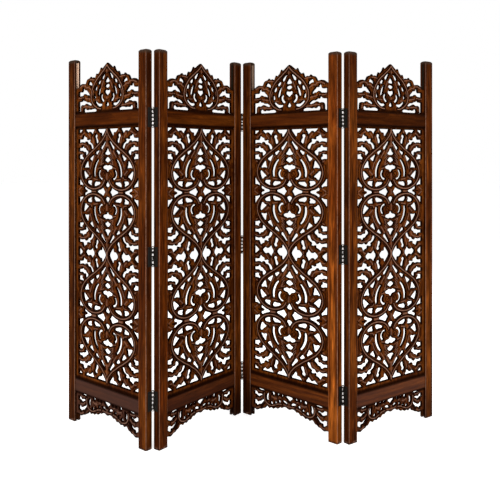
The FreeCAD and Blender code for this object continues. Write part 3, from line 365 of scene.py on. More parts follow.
def smooth_line(points, gap):
    """Return a smooth line through given points, spaced evenly."""
    points = np.array(points, float)
    if len(points) < 3:
        return spaced(points, gap)
    padded = np.vstack((2 * points[0] - points[1], points, 2 * points[-1] - points[-2]))
    share = np.linspace(0, 1, 8, endpoint=False)[:, None]
    pieces = []
    for before, start, end, after in zip(padded, padded[1:], padded[2:], padded[3:]):
        pieces.append(0.5 * (2 * start + (end - before) * share
                             + (2 * before - 5 * start + 4 * end - after) * share ** 2
                             + (3 * start - 3 * end + after - before) * share ** 3))
    return spaced(np.vstack((*pieces, points[-1:])), gap)


def tree_of(points):
    """Return a search tree over flat points."""
    tree = KDTree(len(points))
    for index, (across, up) in enumerate(points):
        tree.insert((across, up, 0), index)
    tree.balance()
    return tree


def gaps_to(tree, points):
    """Return each point's distance to the nearest point of a tree."""
    return np.array([tree.find((across, up, 0))[2] for across, up in points])


def template_lines(lines, level, way, square=MM):
    """Turn template squares into both halves' lines on the board, in panel 1's frame."""
    placed = []
    for line in lines:
        for side in (-1, 1):
            points = [(MIDDLE + side * across * MM, level + way * along * square)
                      for across, along in line]
            placed.append(smooth_line(points, LINE_GAP))
            if all(across == 0 for across, _ in line):
                break
    return placed


def board_lines(word, kind):
    """Return the beads, ribs or cuts of one kind of board."""
    lines = BOARD_TABLES[word][kind]
    above, below = local_box("panel_1_top_rail"), local_box("panel_1_bottom_rail")
    if word == "crest":
        foot = above[1][2]
        square = (local_box("panel_1_crest")[1][2] - foot) / CREST_SQUARES_HIGH
        return template_lines(lines, foot, 1, square)
    if word == "apron":
        return template_lines(lines, below[0][2], -1)
    middle = (below[1][2] + above[0][2]) / 2
    placed = []
    for apex, way in HEART_LEVELS:
        placed += template_lines(lines, middle + apex * HEART_SQUARES_HIGH * MM, way)
    return placed


def beside(line, offset):
    """Return a line's points moved sideways."""
    ahead = np.gradient(line, axis=0)
    ahead /= np.linalg.norm(ahead, axis=1)[:, None] + 1e-12
    return line + offset * np.column_stack((-ahead[:, 1], ahead[:, 0]))


def thinned(points, gap):
    """Keep points in order, dropping any that comes too near to one kept before it."""
    kept, cells = [], {}
    for across, up in points:
        key = (int(across // gap), int(up // gap))
        near = [cells.get((key[0] + a, key[1] + b)) for a in (-1, 0, 1) for b in (-1, 0, 1)]
        if any(other and math.dist(other, (across, up)) < gap for other in near):
            continue
        if key not in cells:
            cells[key] = (across, up)
            kept.append((across, up))
    return np.array(kept)


def in_wood(points, loops):
    """Tell which points lie inside the board's outline and outside its openings."""
    starts = np.vstack(loops)
    ends = np.vstack([np.roll(loop, -1, axis=0) for loop in loops])
    slope = (ends[:, 0] - starts[:, 0]) / np.where(ends[:, 1] == starts[:, 1], 1,
                                                   ends[:, 1] - starts[:, 1])
    found = []
    for across, up in points:
        spans = (starts[:, 1] > up) != (ends[:, 1] > up)
        crossings = starts[spans, 0] + (up - starts[spans, 1]) * slope[spans]
        found.append((crossings > across).sum() % 2 == 1)
    return np.array(found)


def board_blank(word, beads, ribs, cuts, loops):
    """Return a closed, flat board mesh whose points are set close where the carving is fine."""
    values = sizes()
    outline = np.vstack(loops)
    fine_outline = np.vstack([spaced_loop(loop, 0.0005) for loop in loops])
    rim_tree = tree_of(fine_outline)
    low, high = outline.min(axis=0), outline.max(axis=0)

    rings = []
    for share in (0.14, 0.42, 1.0):
        offset = share * values.roll_width
        for loop in loops:
            ahead = np.roll(loop, -1, axis=0) - np.roll(loop, 1, axis=0)
            ahead /= np.linalg.norm(ahead, axis=1)[:, None] + 1e-12
            normal = np.column_stack((-ahead[:, 1], ahead[:, 0]))
            moved = [loop + offset * normal, loop - offset * normal]
            rings += [ring[gaps_to(rim_tree, ring) > 0.9 * offset] for ring in moved]
    features = []
    edge = values.bead_width
    for lines, offsets in ((beads, (0, 0.55 * edge, 0.95 * edge, edge + values.groove_width,
                                    edge + 2 * values.groove_width)),
                           (ribs, (0, 0.6 * values.rib_width, 1.05 * values.rib_width)),
                           (cuts, (0, 0.5 * values.cut_width, values.cut_width))):
        for line in lines:
            for offset in offsets:
                features += [beside(line, offset), beside(line, -offset)]
    features = np.vstack(features)
    features = features[gaps_to(rim_tree, features) > 0.0006]

    columns = np.arange(low[0] + GRID_GAP / 2, high[0], GRID_GAP)
    rows = np.arange(low[1] + GRID_GAP / 2, high[1], GRID_GAP * 0.87)
    grid = np.array([(across + (row % 2) * GRID_GAP / 2, up)
                     for row, up in enumerate(rows) for across in columns])
    grid = grid[(gaps_to(rim_tree, grid) > values.roll_width * 1.2)
                & (gaps_to(tree_of(features), grid) > 0.0028)]
    inner = thinned(np.vstack((features, *rings, grid)), LEAST_GAP)
    inside = ((inner > low + 0.0004) & (inner < high - 0.0004)).all(axis=1)
    inner = inner[inside]

    edges, first = [], 0
    for loop in loops:
        count = len(loop)
        edges += [(first + index, first + (index + 1) % count) for index in range(count)]
        first += count
    given = [Vector(point) for point in np.vstack((outline, inner))]
    points, _, faces, _, _, _ = delaunay_2d_cdt(given, edges, [], 0, 1e-7)
    flat = np.array([(point.x, point.y) for point in points])
    triangles = np.array(faces)
    triangles = triangles[in_wood(flat[triangles].mean(axis=1), loops)]
    ends = flat[triangles]
    ahead, aside = ends[:, 1] - ends[:, 0], ends[:, 2] - ends[:, 0]
    turned = ahead[:, 0] * aside[:, 1] - ahead[:, 1] * aside[:, 0] < 0
    triangles[turned] = triangles[turned][:, ::-1]

    sides = dict.fromkeys((start, end) for triangle in triangles
                          for start, end in zip(triangle, np.roll(triangle, -1)))
    rim = [(start, end) for start, end in sides if (end, start) not in sides]

    count = len(flat)
    box_low, box_high = local_box(f"panel_1_{word}")
    front = np.column_stack((flat[:, 0], np.full(count, box_low[1]), flat[:, 1]))
    back = np.column_stack((flat[:, 0], np.full(count, box_high[1]), flat[:, 1]))
    polygons = [tuple(int(i) for i in t) for t in triangles]
    polygons += [tuple(int(i) + count for i in t[::-1]) for t in triangles]
    polygons += [(int(end), int(start), int(start) + count, int(end) + count)
                 for start, end in rim]
    mesh = bpy.data.meshes.new(f"{word}_blank")
    mesh.from_pydata(np.vstack((front, back)).tolist(), [], polygons)
    store(mesh, "side", np.repeat((-1.0, 1.0), count))
    return mesh


def line_object(name, lines, level):
    """Return an object whose edges follow flat lines, at one depth."""
    points, edges = [], []
    for line in lines:
        first = len(points)
        points += [(across, level, up) for across, up in line]
        edges += [(first + index, first + index + 1) for index in range(len(line) - 1)]
    mesh = bpy.data.meshes.new(name)
    mesh.from_pydata(points, edges, [])
    return new_object(name, mesh)


class Tree:
    """Builds a node tree by short calls: every input is a value, a socket or left alone."""

    def __init__(self, tree):
        self.tree = tree
        self.column = 0

    def feed(self, node, inputs):
        """Feed a node's inputs by name or by number. Colours are given without their alpha."""
        for key, value in inputs.items():
            socket = node.inputs[key]
            if isinstance(value, bpy.types.NodeSocket):
                self.tree.links.new(value, socket)
            else:
                socket.default_value = (*value, 1.0) if socket.type == "RGBA" else value
        return node

    def add(self, kind, inputs=None, **settings):
        """Add a node, set its options and feed its inputs."""
        node = self.tree.nodes.new(kind)
        self.column += 1
        node.location = (200 * (self.column % 12), -220 * (self.column // 12))
        for option, value in settings.items():
            setattr(node, option, value)
        return self.feed(node, inputs or {})

    def math(self, operation, *values, clamp=False):
        """Add a math node and return its output."""
        return self.add("ShaderNodeMath", dict(enumerate(values)), operation=operation,
                        use_clamp=clamp).outputs[0]

    plus = partialmethod(math, "ADD")
    minus = partialmethod(math, "SUBTRACT")
    times = partialmethod(math, "MULTIPLY")
    over = partialmethod(math, "DIVIDE")
    most = partialmethod(math, "MAXIMUM")

    def ramp(self, value, start, end):
        """Return 0 where a value is at start or before it and 1 at end, eased between."""
        return self.add("ShaderNodeMapRange", {"Value": value, "From Min": start,
                                               "From Max": end},
                        interpolation_type="SMOOTHSTEP").outputs["Result"]

    def blend(self, factor, first, second, way="MIX"):
        """Mix two colours by a factor."""
        return self.add("ShaderNodeMix", {0: factor, 6: first, 7: second}, data_type="RGBA",
                        blend_type=way).outputs[2]

    def noise(self, place, scale, detail, distortion=0.0):
        """Return a noise's value at a place."""
        return self.add("ShaderNodeTexNoise", {"Vector": place, "Scale": scale, "Detail": detail,
                                               "Distortion": distortion}).outputs["Fac"]

    def parts(self, vector):
        """Return the three parts of a vector."""
        return self.add("ShaderNodeSeparateXYZ", {0: vector}).outputs

    def attribute(self, name, output="Fac"):
        """Read an attribute stored on the piece's points."""
        return self.add("ShaderNodeAttribute", attribute_name=name).outputs[output]


def new_group(name, kind, inputs, outputs):
    """Return a new node group, its helper and its inputs, whose names are given by type."""
    group = bpy.data.node_groups.new(name, kind)
    for way, types in (("INPUT", inputs), ("OUTPUT", outputs)):
        for type_name, names in types.items():
            for socket in names:
                group.interface.new_socket(socket, in_out=way,
                                           socket_type=f"NodeSocket{type_name}")
    t = Tree(group)
    return group, t, t.add("NodeGroupInput").outputs


def relief_tree():
    """Build the node group that carves a flat board from its outline, beads and ribs."""
    group, t, given = new_group("carved_relief", "GeometryNodeTree", {
        "Geometry": ("Board",), "Object": ("Outline", "Beads", "Ribs", "Cuts"),
        "Float": ("Middle", *JaliSizes.__annotations__), "Material": ("Material",)},
        {"Geometry": ("Board",)})
    across, _, up = t.parts(t.add("GeometryNodeInputPosition").outputs[0])
    flat = t.add("ShaderNodeCombineXYZ", {0: across, 1: given["Middle"], 2: up}).outputs[0]

    def distance(name):
        info = t.add("GeometryNodeObjectInfo", {"Object": given[name]},
                     transform_space="ORIGINAL")
        near = t.add("GeometryNodeProximity", {0: info.outputs["Geometry"],
                                               "Sample Position": flat},
                     target_element="EDGES")
        return near.outputs["Distance"]

    def dome(length, width):
        share = t.over(length, width, clamp=True)
        left = t.minus(1.0, t.times(share, share))
        return t.math("SQRT", t.most(left, 0.0))

    rim = distance("Outline")
    bead = distance("Beads")
    rib = distance("Ribs")
    vein = distance("Cuts")

    inward = t.minus(1.0, t.over(rim, given["roll_width"], clamp=True))
    round_off = t.minus(1.0, t.math(
        "SQRT", t.most(t.minus(1.0, t.math("POWER", inward, 2.0)), 0.0)))
    fall = t.times(round_off, given["roll_depth"])
    keep = t.minus(1.0, round_off)

    bead_mask = dome(bead, given["bead_width"])
    rib_mask = dome(rib, given["rib_width"])

    def gouge(length, width, groove):
        middle = t.plus(width, groove)
        off = t.math("ABSOLUTE", t.minus(length, middle))
        share = t.minus(1.0, t.over(off, groove, clamp=True))
        return t.math("SMOOTH_MIN", share, 1.0, 0.3)

    groove_mask = gouge(bead, given["bead_width"], given["groove_width"])
    rib_cut = t.times(gouge(rib, given["rib_width"], given["groove_width"]), 0.45)
    free = t.minus(1.0, bead_mask)
    vein_mask = t.minus(1.0, t.over(vein, given["cut_width"], clamp=True))
    cut = t.most(groove_mask, t.times(t.most(rib_cut, vein_mask), free))
    cut = t.times(cut, keep)

    up = t.times(bead_mask, given["bead_height"])
    up = t.plus(up, t.times(t.times(rib_mask, free), given["rib_height"]))
    up = t.times(up, keep)
    down = t.plus(fall, t.times(cut, given["groove_depth"]))
    height = t.minus(up, down)
    side = t.add("GeometryNodeInputNamedAttribute", {"Name": "side"}, data_type="FLOAT")
    shift = t.add("ShaderNodeCombineXYZ", {1: t.times(height, side.outputs[0])}).outputs[0]
    geometry = t.add("GeometryNodeSetPosition", {"Geometry": given["Board"],
                                                 "Offset": shift}).outputs[0]
    raised = t.most(bead_mask, t.times(rib_mask, 0.94))
    # Mask of the painted shade round the openings, stored as rim.
    rim_shade = t.minus(1.0, t.over(rim, given["rim_width"], clamp=True))
    for name, value in (("raised", t.times(raised, keep)), ("cut", cut), ("rim", rim_shade)):
        geometry = t.add("GeometryNodeStoreNamedAttribute",
                         {"Geometry": geometry, "Name": name, "Value": value},
                         data_type="FLOAT", domain="POINT").outputs[0]
    geometry = t.add("GeometryNodeRealizeInstances", {0: geometry}).outputs[0]
    geometry = t.add("GeometryNodeSetMaterial", {"Geometry": geometry,
                                                 "Material": given["Material"]}).outputs[0]
    t.add("NodeGroupOutput", {0: geometry})
    return group


def through(name, mesh, kind, inputs=None, **settings):
    """Return the plain mesh that comes out of one modifier, given its settings and inputs."""
    piece = new_object(name, mesh)
    modifier = piece.modifiers.new(name, kind)
    for option, value in settings.items():
        setattr(modifier, option, value)
    if inputs:
        names = {item.name: item.identifier for item in modifier.node_group.interface.items_tree
                 if item.item_type == "SOCKET" and item.in_out == "INPUT"}
        for key, value in inputs.items():
            modifier[names[key]] = value
    graph = bpy.context.evaluated_depsgraph_get()
    made = bpy.data.meshes.new_from_object(piece.evaluated_get(graph),
                                           preserve_all_data_layers=True, depsgraph=graph)
    piece.modifiers.remove(modifier)
    bpy.data.objects.remove(piece)
    return made


def stand_in(name, mesh, number, node):
    """Let a mesh stand for a CAD node: it rides on the panel's body and the CAD node is hidden.
    """
    piece = new_object(name, mesh)
    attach(piece, f"panel_{number}")
    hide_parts(node)


def put_in_panel(word, mesh, number):
    """Move a mesh made in a panel's frame to its place, and let it stand for its CAD node."""
    store(mesh, "grain", mesh_points(mesh))
    marks = {"tone": STAIN_STRENGTHS[word][number - 1], "seed": number}
    for mark, table in PIECE_MARKS.items():
        if word in table:
            marks[mark] = table[word][number - 1]
    for mark, value in marks.items():
        store(mesh, mark, np.full(len(mesh.vertices), value, float))
    mesh.transform(PLACES[number])
    mesh.update()
    stand_in(f"panel_{number}_finished_{word}", mesh, number, f"panel_{number}_{word}")


def new_material(name):
    """Return an empty material's node helper, its Principled shader and the material."""
    material = bpy.data.materials.new(name)
    material.use_nodes = True
    t = Tree(material.node_tree)
    shader = material.node_tree.nodes["Principled BSDF"]
    return material, t, shader


def grain_group():
    """Build the shader group of stained wood: a colour and a height from place and tone."""
    group, t, given = new_group("wood_grain", "ShaderNodeTree", {
        "Vector": ("Place",), "Color": ("Stain", "Dark Stain", "Warm Stain"),
        "Float": ("Seed", "Tone", "Warm Share", "Dark Share", "Contrast")},
        {"Color": ("Color",), "Float": ("Height",)})
    moved = t.add("ShaderNodeVectorMath", {0: given["Seed"], 1: (7.3, 3.1, 11.7),
                                           2: given["Place"]}, operation="MULTIPLY_ADD")

    def noise(scale, detail, stretch, distortion=0.0):
        place = t.add("ShaderNodeMapping", {"Vector": moved.outputs[0],
                                            "Scale": (1.0, 1.0, stretch)})
        return t.noise(place.outputs[0], scale, detail, distortion)

    broad = noise(6.0, 3.0, 0.22, 0.5)
    streak = noise(62.0, 5.0, 0.035, 0.3)
    pores = noise(420.0, 2.0, 0.06)
    patch = noise(15.0, 3.0, 0.32, 0.8)
    warm = t.times(t.ramp(broad, 0.42, 0.66), t.ramp(streak, 0.3, 0.62))
    warm = t.times(t.plus(warm, t.times(t.ramp(patch, 0.5, 0.35), 0.35)), given["Warm Share"],
                   clamp=True)
    dark = t.most(t.ramp(streak, 0.5, 0.32), t.times(t.ramp(patch, 0.54, 0.74), 0.9))
    dark = t.times(dark, given["Dark Share"], clamp=True)
    colour = t.blend(warm, given["Stain"], given["Warm Stain"])
    colour = t.blend(dark, colour, given["Dark Stain"])
    open_pore = t.ramp(pores, 0.42, 0.3)
    colour = t.blend(t.times(open_pore, 0.45), colour, given["Dark Stain"])
    figure = noise(110.0, 4.0, 0.10, 0.5)
    swing = t.times(t.minus(figure, 0.5), given["Contrast"])
    shade = t.times(t.math("POWER", 2.0, swing), given["Tone"])
    colour = t.blend(1.0, colour, shade, "MULTIPLY")
    height = t.minus(t.times(streak, 0.5), open_pore)
    t.add("NodeGroupOutput", {0: colour, 1: height})
    return group


def stained(t, group, warm_share, dark_share, contrast, lengthwise=False):
    """Place the grain group in a material, with the grain along X where it is lengthwise."""
    tones = colours()
    place = t.attribute("grain", "Vector")
    if lengthwise:
        place = t.add("ShaderNodeMapping", {"Vector": place, "Rotation": (0, math.radians(90), 0)}
                      ).outputs[0]
    return t.add("ShaderNodeGroup", {
        "Place": place, "Seed": t.attribute("seed"), "Tone": t.attribute("tone"),
        "Contrast": contrast, "Stain": tones.stain, "Dark Stain": tones.dark_stain_and_shade,
        "Warm Stain": tones.stain_warm, "Warm Share": warm_share, "Dark Share": dark_share},
        node_tree=group).outputs


def satin(t, shader, colour, height, bump):
    """Feed a satin lacquer over stained wood: its colour, its faint sheen and its open grain."""
    relief = t.add("ShaderNodeBump", {"Height": height, "Strength": bump, "Distance": 0.0006})
    t.feed(shader, {"Base Color": colour, "Specular IOR Level": 0.0, "Coat Weight": 0.035,
                    "Coat Roughness": 0.3, "Normal": relief.outputs[0]})


def rail_edges(t, word, far, close):
    """Return 1 at a height close to a rail's edges, eased to 0 far from them."""
    low, high = local_box(f"panel_1_{word}")
    half = (high[2] - low[2]) / 2
    up = t.parts(t.attribute("grain", "Vector"))[2]
    off = t.math("ABSOLUTE", t.minus(up, (low[2] + high[2]) / 2))
    return t.ramp(off, half + far, half + close)


def carved_material(group):
    """Return the finish of the carved boards: painted highlights on beads and ribs, painted shade
    in cuts, round openings and along the rails, satin stain.
    """
    material, t, shader = new_material("carved_wood")
    tones = colours()
    wood = stained(t, group, 0.9, 0.6, 4.0)
    grain = t.attribute("grain", "Vector")
    mottle = t.ramp(t.noise(grain, 55.0, 2.0), 0.48, 0.68)
    colour = t.blend(t.times(mottle, 0.7), wood["Color"], tones.stain_warm)
    # Painted greyish sheen on the low boards.
    colour = t.blend(t.attribute("haze"), colour, tones.haze)
    # Painted highlight along the crests of the beads and ribs, broken up by noise.
    ridge = t.math("POWER", t.attribute("raised"), 4.0)
    sheen_patches = t.plus(0.35, t.noise(grain, 90.0, 3.0))
    colour = t.blend(t.times(ridge, sheen_patches, clamp=True), colour, tones.rubbed)
    # Painted shade in the gouge cuts and round the openings.
    hollow_shade = t.most(t.ramp(t.attribute("cut"), 0.0, 0.35), t.ramp(t.attribute("rim"), 0.05, 0.6),
                    clamp=True)
    # Painted shade on the board where it meets the rails.
    for word in ("top_rail", "bottom_rail"):
        hollow_shade = t.most(hollow_shade, t.times(rail_edges(t, word, 0.016, 0.006), 0.9))
    colour = t.blend(hollow_shade, colour, tones.painted_shade)
    satin(t, shader, colour, wood["Height"], 0.35)
    t.feed(shader, {"Roughness": t.plus(0.36, t.times(hollow_shade, 0.3)),
                    "Coat Weight": t.minus(0.035, t.times(hollow_shade, 0.032), clamp=True)})
    return material


def rail_material(group, word):
    """Return the finish of a rail, with painted shade along its edges where it meets the boards.
    """
    material, t, shader = new_material(word)
    tones = colours()
    wood = stained(t, group, 0.6, 0.45, 2.6, lengthwise=True)
    # Painted greyish sheen on the lower rails.
    colour = t.blend(t.attribute("haze"), wood["Color"], tones.haze)
    # Painted shade along the rail's top and bottom edges, where it meets the boards.
    seam_shade = t.times(rail_edges(t, word, -0.008, -0.001), 0.85)
    colour = t.blend(seam_shade, colour, tones.painted_shade)
    satin(t, shader, colour, wood["Height"], 0.4)
    t.feed(shader, {"Roughness": 0.38})
    return material


def stile_material(group):
    """Return the finish of the stiles: painted highlights on the arrises, painted shade on the
    side faces, dark tops, raw grooves, feet darker towards the bottom and scuffed.
    """
    material, t, shader = new_material("stile")
    tones = colours()
    wood = stained(t, group, 1.0, 0.75, 5.0)
    grain = t.attribute("grain", "Vector")
    wobble = t.noise(grain, 60.0, 4.0)
    low, high = local_box("panel_1_left_stile")
    board_low, board_high = local_box("panel_1_jali")
    across, along, up = t.parts(grain)
    out = t.math("ABSOLUTE", t.minus(across, MIDDLE))
    off = t.math("ABSOLUTE", t.minus(along, (low[1] + high[1]) / 2))
    inner = MIDDLE - high[0]
    flank_gap = t.math("MINIMUM", t.minus(MIDDLE, out), t.minus(out, inner))
    face_gap = t.minus((high[1] - low[1]) / 2, off)

    # Painted shade on the side faces of the stiles.
    side_shade = t.times(t.ramp(flank_gap, 0.0012, 0.0002), 0.5)
    colour = t.blend(side_shade, wood["Color"], tones.dark_stain_and_shade)
    # Painted highlight along the arrises.
    highlight_mask = t.ramp(t.plus(t.most(flank_gap, face_gap), t.times(wobble, -0.0024)), 0.0011, -0.0006)
    colour = t.blend(t.times(highlight_mask, 0.75), colour, tones.rubbed)
    # The stiles grow darker towards the top.
    dim = t.times(t.ramp(up, high[2] - 0.25, high[2] - 0.05), 0.4)
    colour = t.blend(dim, colour, tones.dark_stain_and_shade)
    top = t.ramp(t.plus(up, t.times(wobble, 0.008)), high[2] - 0.016, high[2] - 0.002)
    colour = t.blend(t.times(top, 0.9), colour, tones.end_grain)
    # The feet are darker towards the bottom: each stile by its own share, and every stile in its
    # lowest centimetre.
    foot_dark = t.most(t.times(t.ramp(up, 0.20, 0.04), t.attribute("foot")),
                   t.times(t.ramp(up, 0.010, 0.002), 0.7))
    colour = t.blend(foot_dark, colour, tones.painted_shade)
    scuff = t.times(t.ramp(up, 0.012, 0.002), t.ramp(wobble, 0.55, 0.62))
    colour = t.blend(t.times(scuff, 0.6), colour, tones.rubbed)
    half_groove = (board_high[1] - board_low[1]) / 2 + 0.0005
    groove = t.times(t.ramp(off, half_groove + 0.0003, half_groove),
                     t.times(t.ramp(out, inner + 0.012, inner + 0.011),
                             t.ramp(up, high[2] - 0.012, high[2] - 0.014)))
    upper = t.ramp(up, 0.6 * high[2], 0.7 * high[2])
    # Grooves that are not left bare take a darker colour.
    bare = t.blend(t.times(t.attribute("bare"), upper), tones.dark_groove, tones.raw_wood)
    colour = t.blend(t.times(groove, t.ramp(up, 0.08, 0.16)), colour, bare)
    satin(t, shader, colour, wood["Height"], 0.4)
    t.feed(shader, {"Roughness": t.plus(0.3, t.times(wobble, 0.16))})
    return material


def iron_material(name, rub, knuckle_glints=False):
    """Return a black painted iron, its paint thin at a share of its specks, and where asked with
    painted glints at its knuckles' ends.
    """
    material, t, shader = new_material(name)
    tones = colours()
    place = t.add("ShaderNodeTexCoord").outputs["Object"]
    speck = t.noise(place, 260.0, 4.0)
    colour = t.blend(t.times(speck, rub), tones.iron, tones.bare_iron)
    if knuckle_glints:
        # Painted glints near the ends of the knuckles, close to the pin.
        across, along, up = t.parts(t.attribute("pin", "Vector"))
        reach = t.math("SQRT", t.plus(t.times(across, across), t.times(along, along)))
        # Five knuckles share the height of a hinge.
        ragged = t.plus(t.math("PINGPONG", up, 0.1), t.times(speck, 0.05))
        highlight_mask = t.times(t.ramp(reach, 0.0044, 0.0036), t.ramp(ragged, 0.095, 0.065))
        highlight_mask = t.times(highlight_mask, t.ramp(t.noise(place, 75.0, 1.0), 0.36, 0.56))
        colour = t.blend(highlight_mask, colour, tones.knuckle_glint)
    rough = t.add("ShaderNodeMapRange", {"Value": speck, "To Min": 0.28, "To Max": 0.5})
    bump = t.add("ShaderNodeBump", {"Height": speck, "Strength": 0.2, "Distance": 0.0004})
    t.feed(shader, {"Base Color": colour, "Specular IOR Level": 0.12,
                    "Roughness": rough.outputs["Result"], "Normal": bump.outputs[0]})
    return material


class JALI_OT_carved_boards(bpy.types.Operator):
    """Carve every jali, crest and apron board in relief on both faces"""

    bl_idname = "jali.carved_boards"
    bl_label = "Carved Boards"

    def execute(self, context):
        values = sizes()
        group = relief_tree()
        finish = carved_material(bpy.data.node_groups["wood_grain"])
        for word in ("jali", "crest", "apron"):
            loops = [spaced_loop(loop, OUTLINE_GAP) for loop in front_loops(f"panel_1_{word}")]
            beads, ribs, cuts = (board_lines(word, kind) for kind in ("bead", "rib", "cut"))
            blank = board_blank(word, beads, ribs, cuts, loops)
            box_low, box_high = local_box(f"panel_1_{word}")
            middle = (box_low[1] + box_high[1]) / 2
            rims = [np.vstack((loop, loop[:1])) for loop in loops]
            guides = {name: line_object(f"{name}_guide", lines, middle) for name, lines in
                      (("Outline", rims), ("Beads", beads), ("Ribs", ribs), ("Cuts", cuts))}
            measures = {name: getattr(values, name) for name in JaliSizes.__annotations__}
            carved = through(f"{word}_carving", blank, "NODES", {
                **guides, **measures, "Middle": middle, "Material": finish}, node_group=group)
            for guide in guides.values():
                bpy.data.objects.remove(guide)
            carved.shade_smooth()
            for number in PANELS:
                put_in_panel(word, carved.copy(), number)
        return {"FINISHED"}


def smoothed_copy(node, number):
    """Return a merged copy of a CAD node's mesh in its panel's frame, its flats shaded flat."""
    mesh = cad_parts[node].data.copy()
    mesh.transform(PLACES[number].inverted())
    work = bmesh.new()
    work.from_mesh(mesh)
    bmesh.ops.remove_doubles(work, verts=work.verts, dist=0.00001)
    work.to_mesh(mesh)
    work.free()
    mesh.shade_smooth()
    mesh.set_sharp_from_angle(angle=math.radians(35))
    return through("unfinished", mesh, "WEIGHTED_NORMAL", keep_sharp=True)


def finish_pieces(words, finish):
    """Let smoothed copies of the named pieces stand in, with one finish, in every panel."""
    for number in PANELS:
        for word in words:
            mesh = smoothed_copy(f"panel_{number}_{word}", number)
            mesh.materials.clear()
            mesh.materials.append(finish)
            put_in_panel(word, mesh, number)


class JALI_OT_stiles(bpy.types.Operator):
    """Finish the stiles of every panel"""

    bl_idname = "jali.stiles"
    bl_label = "Stiles"

    def execute(self, context):
        finish = stile_material(bpy.data.node_groups["wood_grain"])
        finish_pieces(("left_stile", "right_stile"), finish)
        return {"FINISHED"}


class JALI_OT_rails(bpy.types.Operator):
    """Finish the rails of every panel"""

    bl_idname = "jali.rails"
    bl_label = "Rails"

    def execute(self, context):
        for word in ("top_rail", "bottom_rail"):
            finish = rail_material(bpy.data.node_groups["wood_grain"], word)
            finish_pieces((word,), finish)
        return {"FINISHED"}


def cross_screw(head, shank, sunk, length):
    """Return a countersunk screw with a cross recess, its head at X 0 and its point along +X."""
    count = 24
    turns = [2 * math.pi * index / count for index in range(count)]
    rim = np.array([(head * math.cos(turn), head * math.sin(turn)) for turn in turns])
    arm, half = 0.56 * head, 0.15 * head
    quarter = ((arm, -half), (arm, half), (half, half))
    cross = np.array([(across * math.cos(turn) - up * math.sin(turn),
                       across * math.sin(turn) + up * math.cos(turn))
                      for turn in (0, math.pi / 2, math.pi, 3 * math.pi / 2)
                      for across, up in quarter])
    loops = [rim, cross]
    edges = [(index, (index + 1) % count) for index in range(count)]
    corners = len(cross)
    edges += [(count + index, count + (index + 1) % corners) for index in range(corners)]
    flat = np.vstack(loops)
    _, _, faces, _, _, _ = delaunay_2d_cdt([Vector(point) for point in flat], edges, [], 0, 1e-9)
    ring = [face for face in faces if in_wood([flat[list(face)].mean(axis=0)], loops)[0]]
    work = bmesh.new()

    def layer(outline, depth, scale=1.0):
        return [work.verts.new((depth, across * scale, up * scale)) for across, up in outline]

    def wall(first, second):
        for index, start in enumerate(first):
            onward = (index + 1) % len(first)
            work.faces.new((start, first[onward], second[onward], second[index]))

    top = layer(flat, 0.0)
    for face in ring:
        work.faces.new([top[index] for index in face])
    rims = [top[:count], layer(rim, 0.08 * sunk), layer(rim, sunk, shank / head),
            layer(rim, sunk + 0.8 * length, shank / head),
            layer(rim, sunk + length, 0.3 * shank / head)]
    for first, second in zip(rims, rims[1:]):
        wall(first, second)
    work.faces.new(rims[-1])
    floor = layer(cross, 0.8 * sunk, 0.8)
    wall(top[count:], floor)
    work.faces.new(floor)
    bmesh.ops.recalc_face_normals(work, faces=work.faces)
    mesh = bpy.data.meshes.new("cross_screw")
    work.to_mesh(mesh)
    work.free()
    return mesh


def screw_tree():
    """Build the node group that sets a screw at each seat, turned about its own axis."""
    group, t, given = new_group("set_screws", "GeometryNodeTree", {
        "Geometry": ("Seats",), "Object": ("Screw",), "Float": ("Facing",), "Int": ("Seed",),
        "Material": ("Material",)}, {"Geometry": ("Screws",)})
    info = t.add("GeometryNodeObjectInfo", {"Object": given["Screw"], "As Instance": True},
                 transform_space="ORIGINAL")
    twist = t.add("FunctionNodeRandomValue", {"Seed": given["Seed"]}, data_type="FLOAT")
    twist.inputs[2].default_value = 0.0
    twist.inputs[3].default_value = math.pi / 2
    turn = t.add("ShaderNodeCombineXYZ", {0: twist.outputs[1], 2: given["Facing"]}).outputs[0]
    seats = t.add("GeometryNodeMeshToPoints", {"Mesh": given["Seats"]}).outputs[0]
    screws = t.add("GeometryNodeInstanceOnPoints",
                   {"Points": seats, "Instance": info.outputs["Geometry"], "Rotation": turn})
    made = t.add("GeometryNodeRealizeInstances", {0: screws.outputs[0]}).outputs[0]
    made = t.add("GeometryNodeSetMaterial", {"Geometry": made, "Material": given["Material"]})
    t.add("NodeGroupOutput", {0: made.outputs[0]})
    return group


class JALI_OT_hinges(bpy.types.Operator):
    """Finish the hinge leaves and pins in black iron"""

    bl_idname = "jali.hinges"
    bl_label = "Hinges"

    def execute(self, context):
        pins = iron_material("black_iron", 0.5)
        leaves = iron_material("leaf_iron", 0.5, knuckle_glints=True)
        for name, node in list(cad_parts.items()):
            if name.endswith("pins"):
                node.data.materials.clear()
                node.data.materials.append(pins)
            if name.endswith("leaf"):
                number = int(name.split("_")[1])
                first = number if "_right_" in name else number - 1
                axis = node_points(f"fold_{first}_{first + 1}_hinge_pins")[:, :2]
                middle = (axis.min(axis=0) + axis.max(axis=0)) / 2
                mesh = smoothed_copy(name, number)
                mesh.transform(PLACES[number])
                points = mesh_points(mesh) - (*middle, 0)
                low, high = points[:, 2].min(), points[:, 2].max()
                points[:, 2] = (points[:, 2] - low) / (high - low)
                store(mesh, "pin", points)
                mesh.materials.clear()
                mesh.materials.append(leaves)
                stand_in(f"finished_{name}", mesh, number, name)
        return {"FINISHED"}


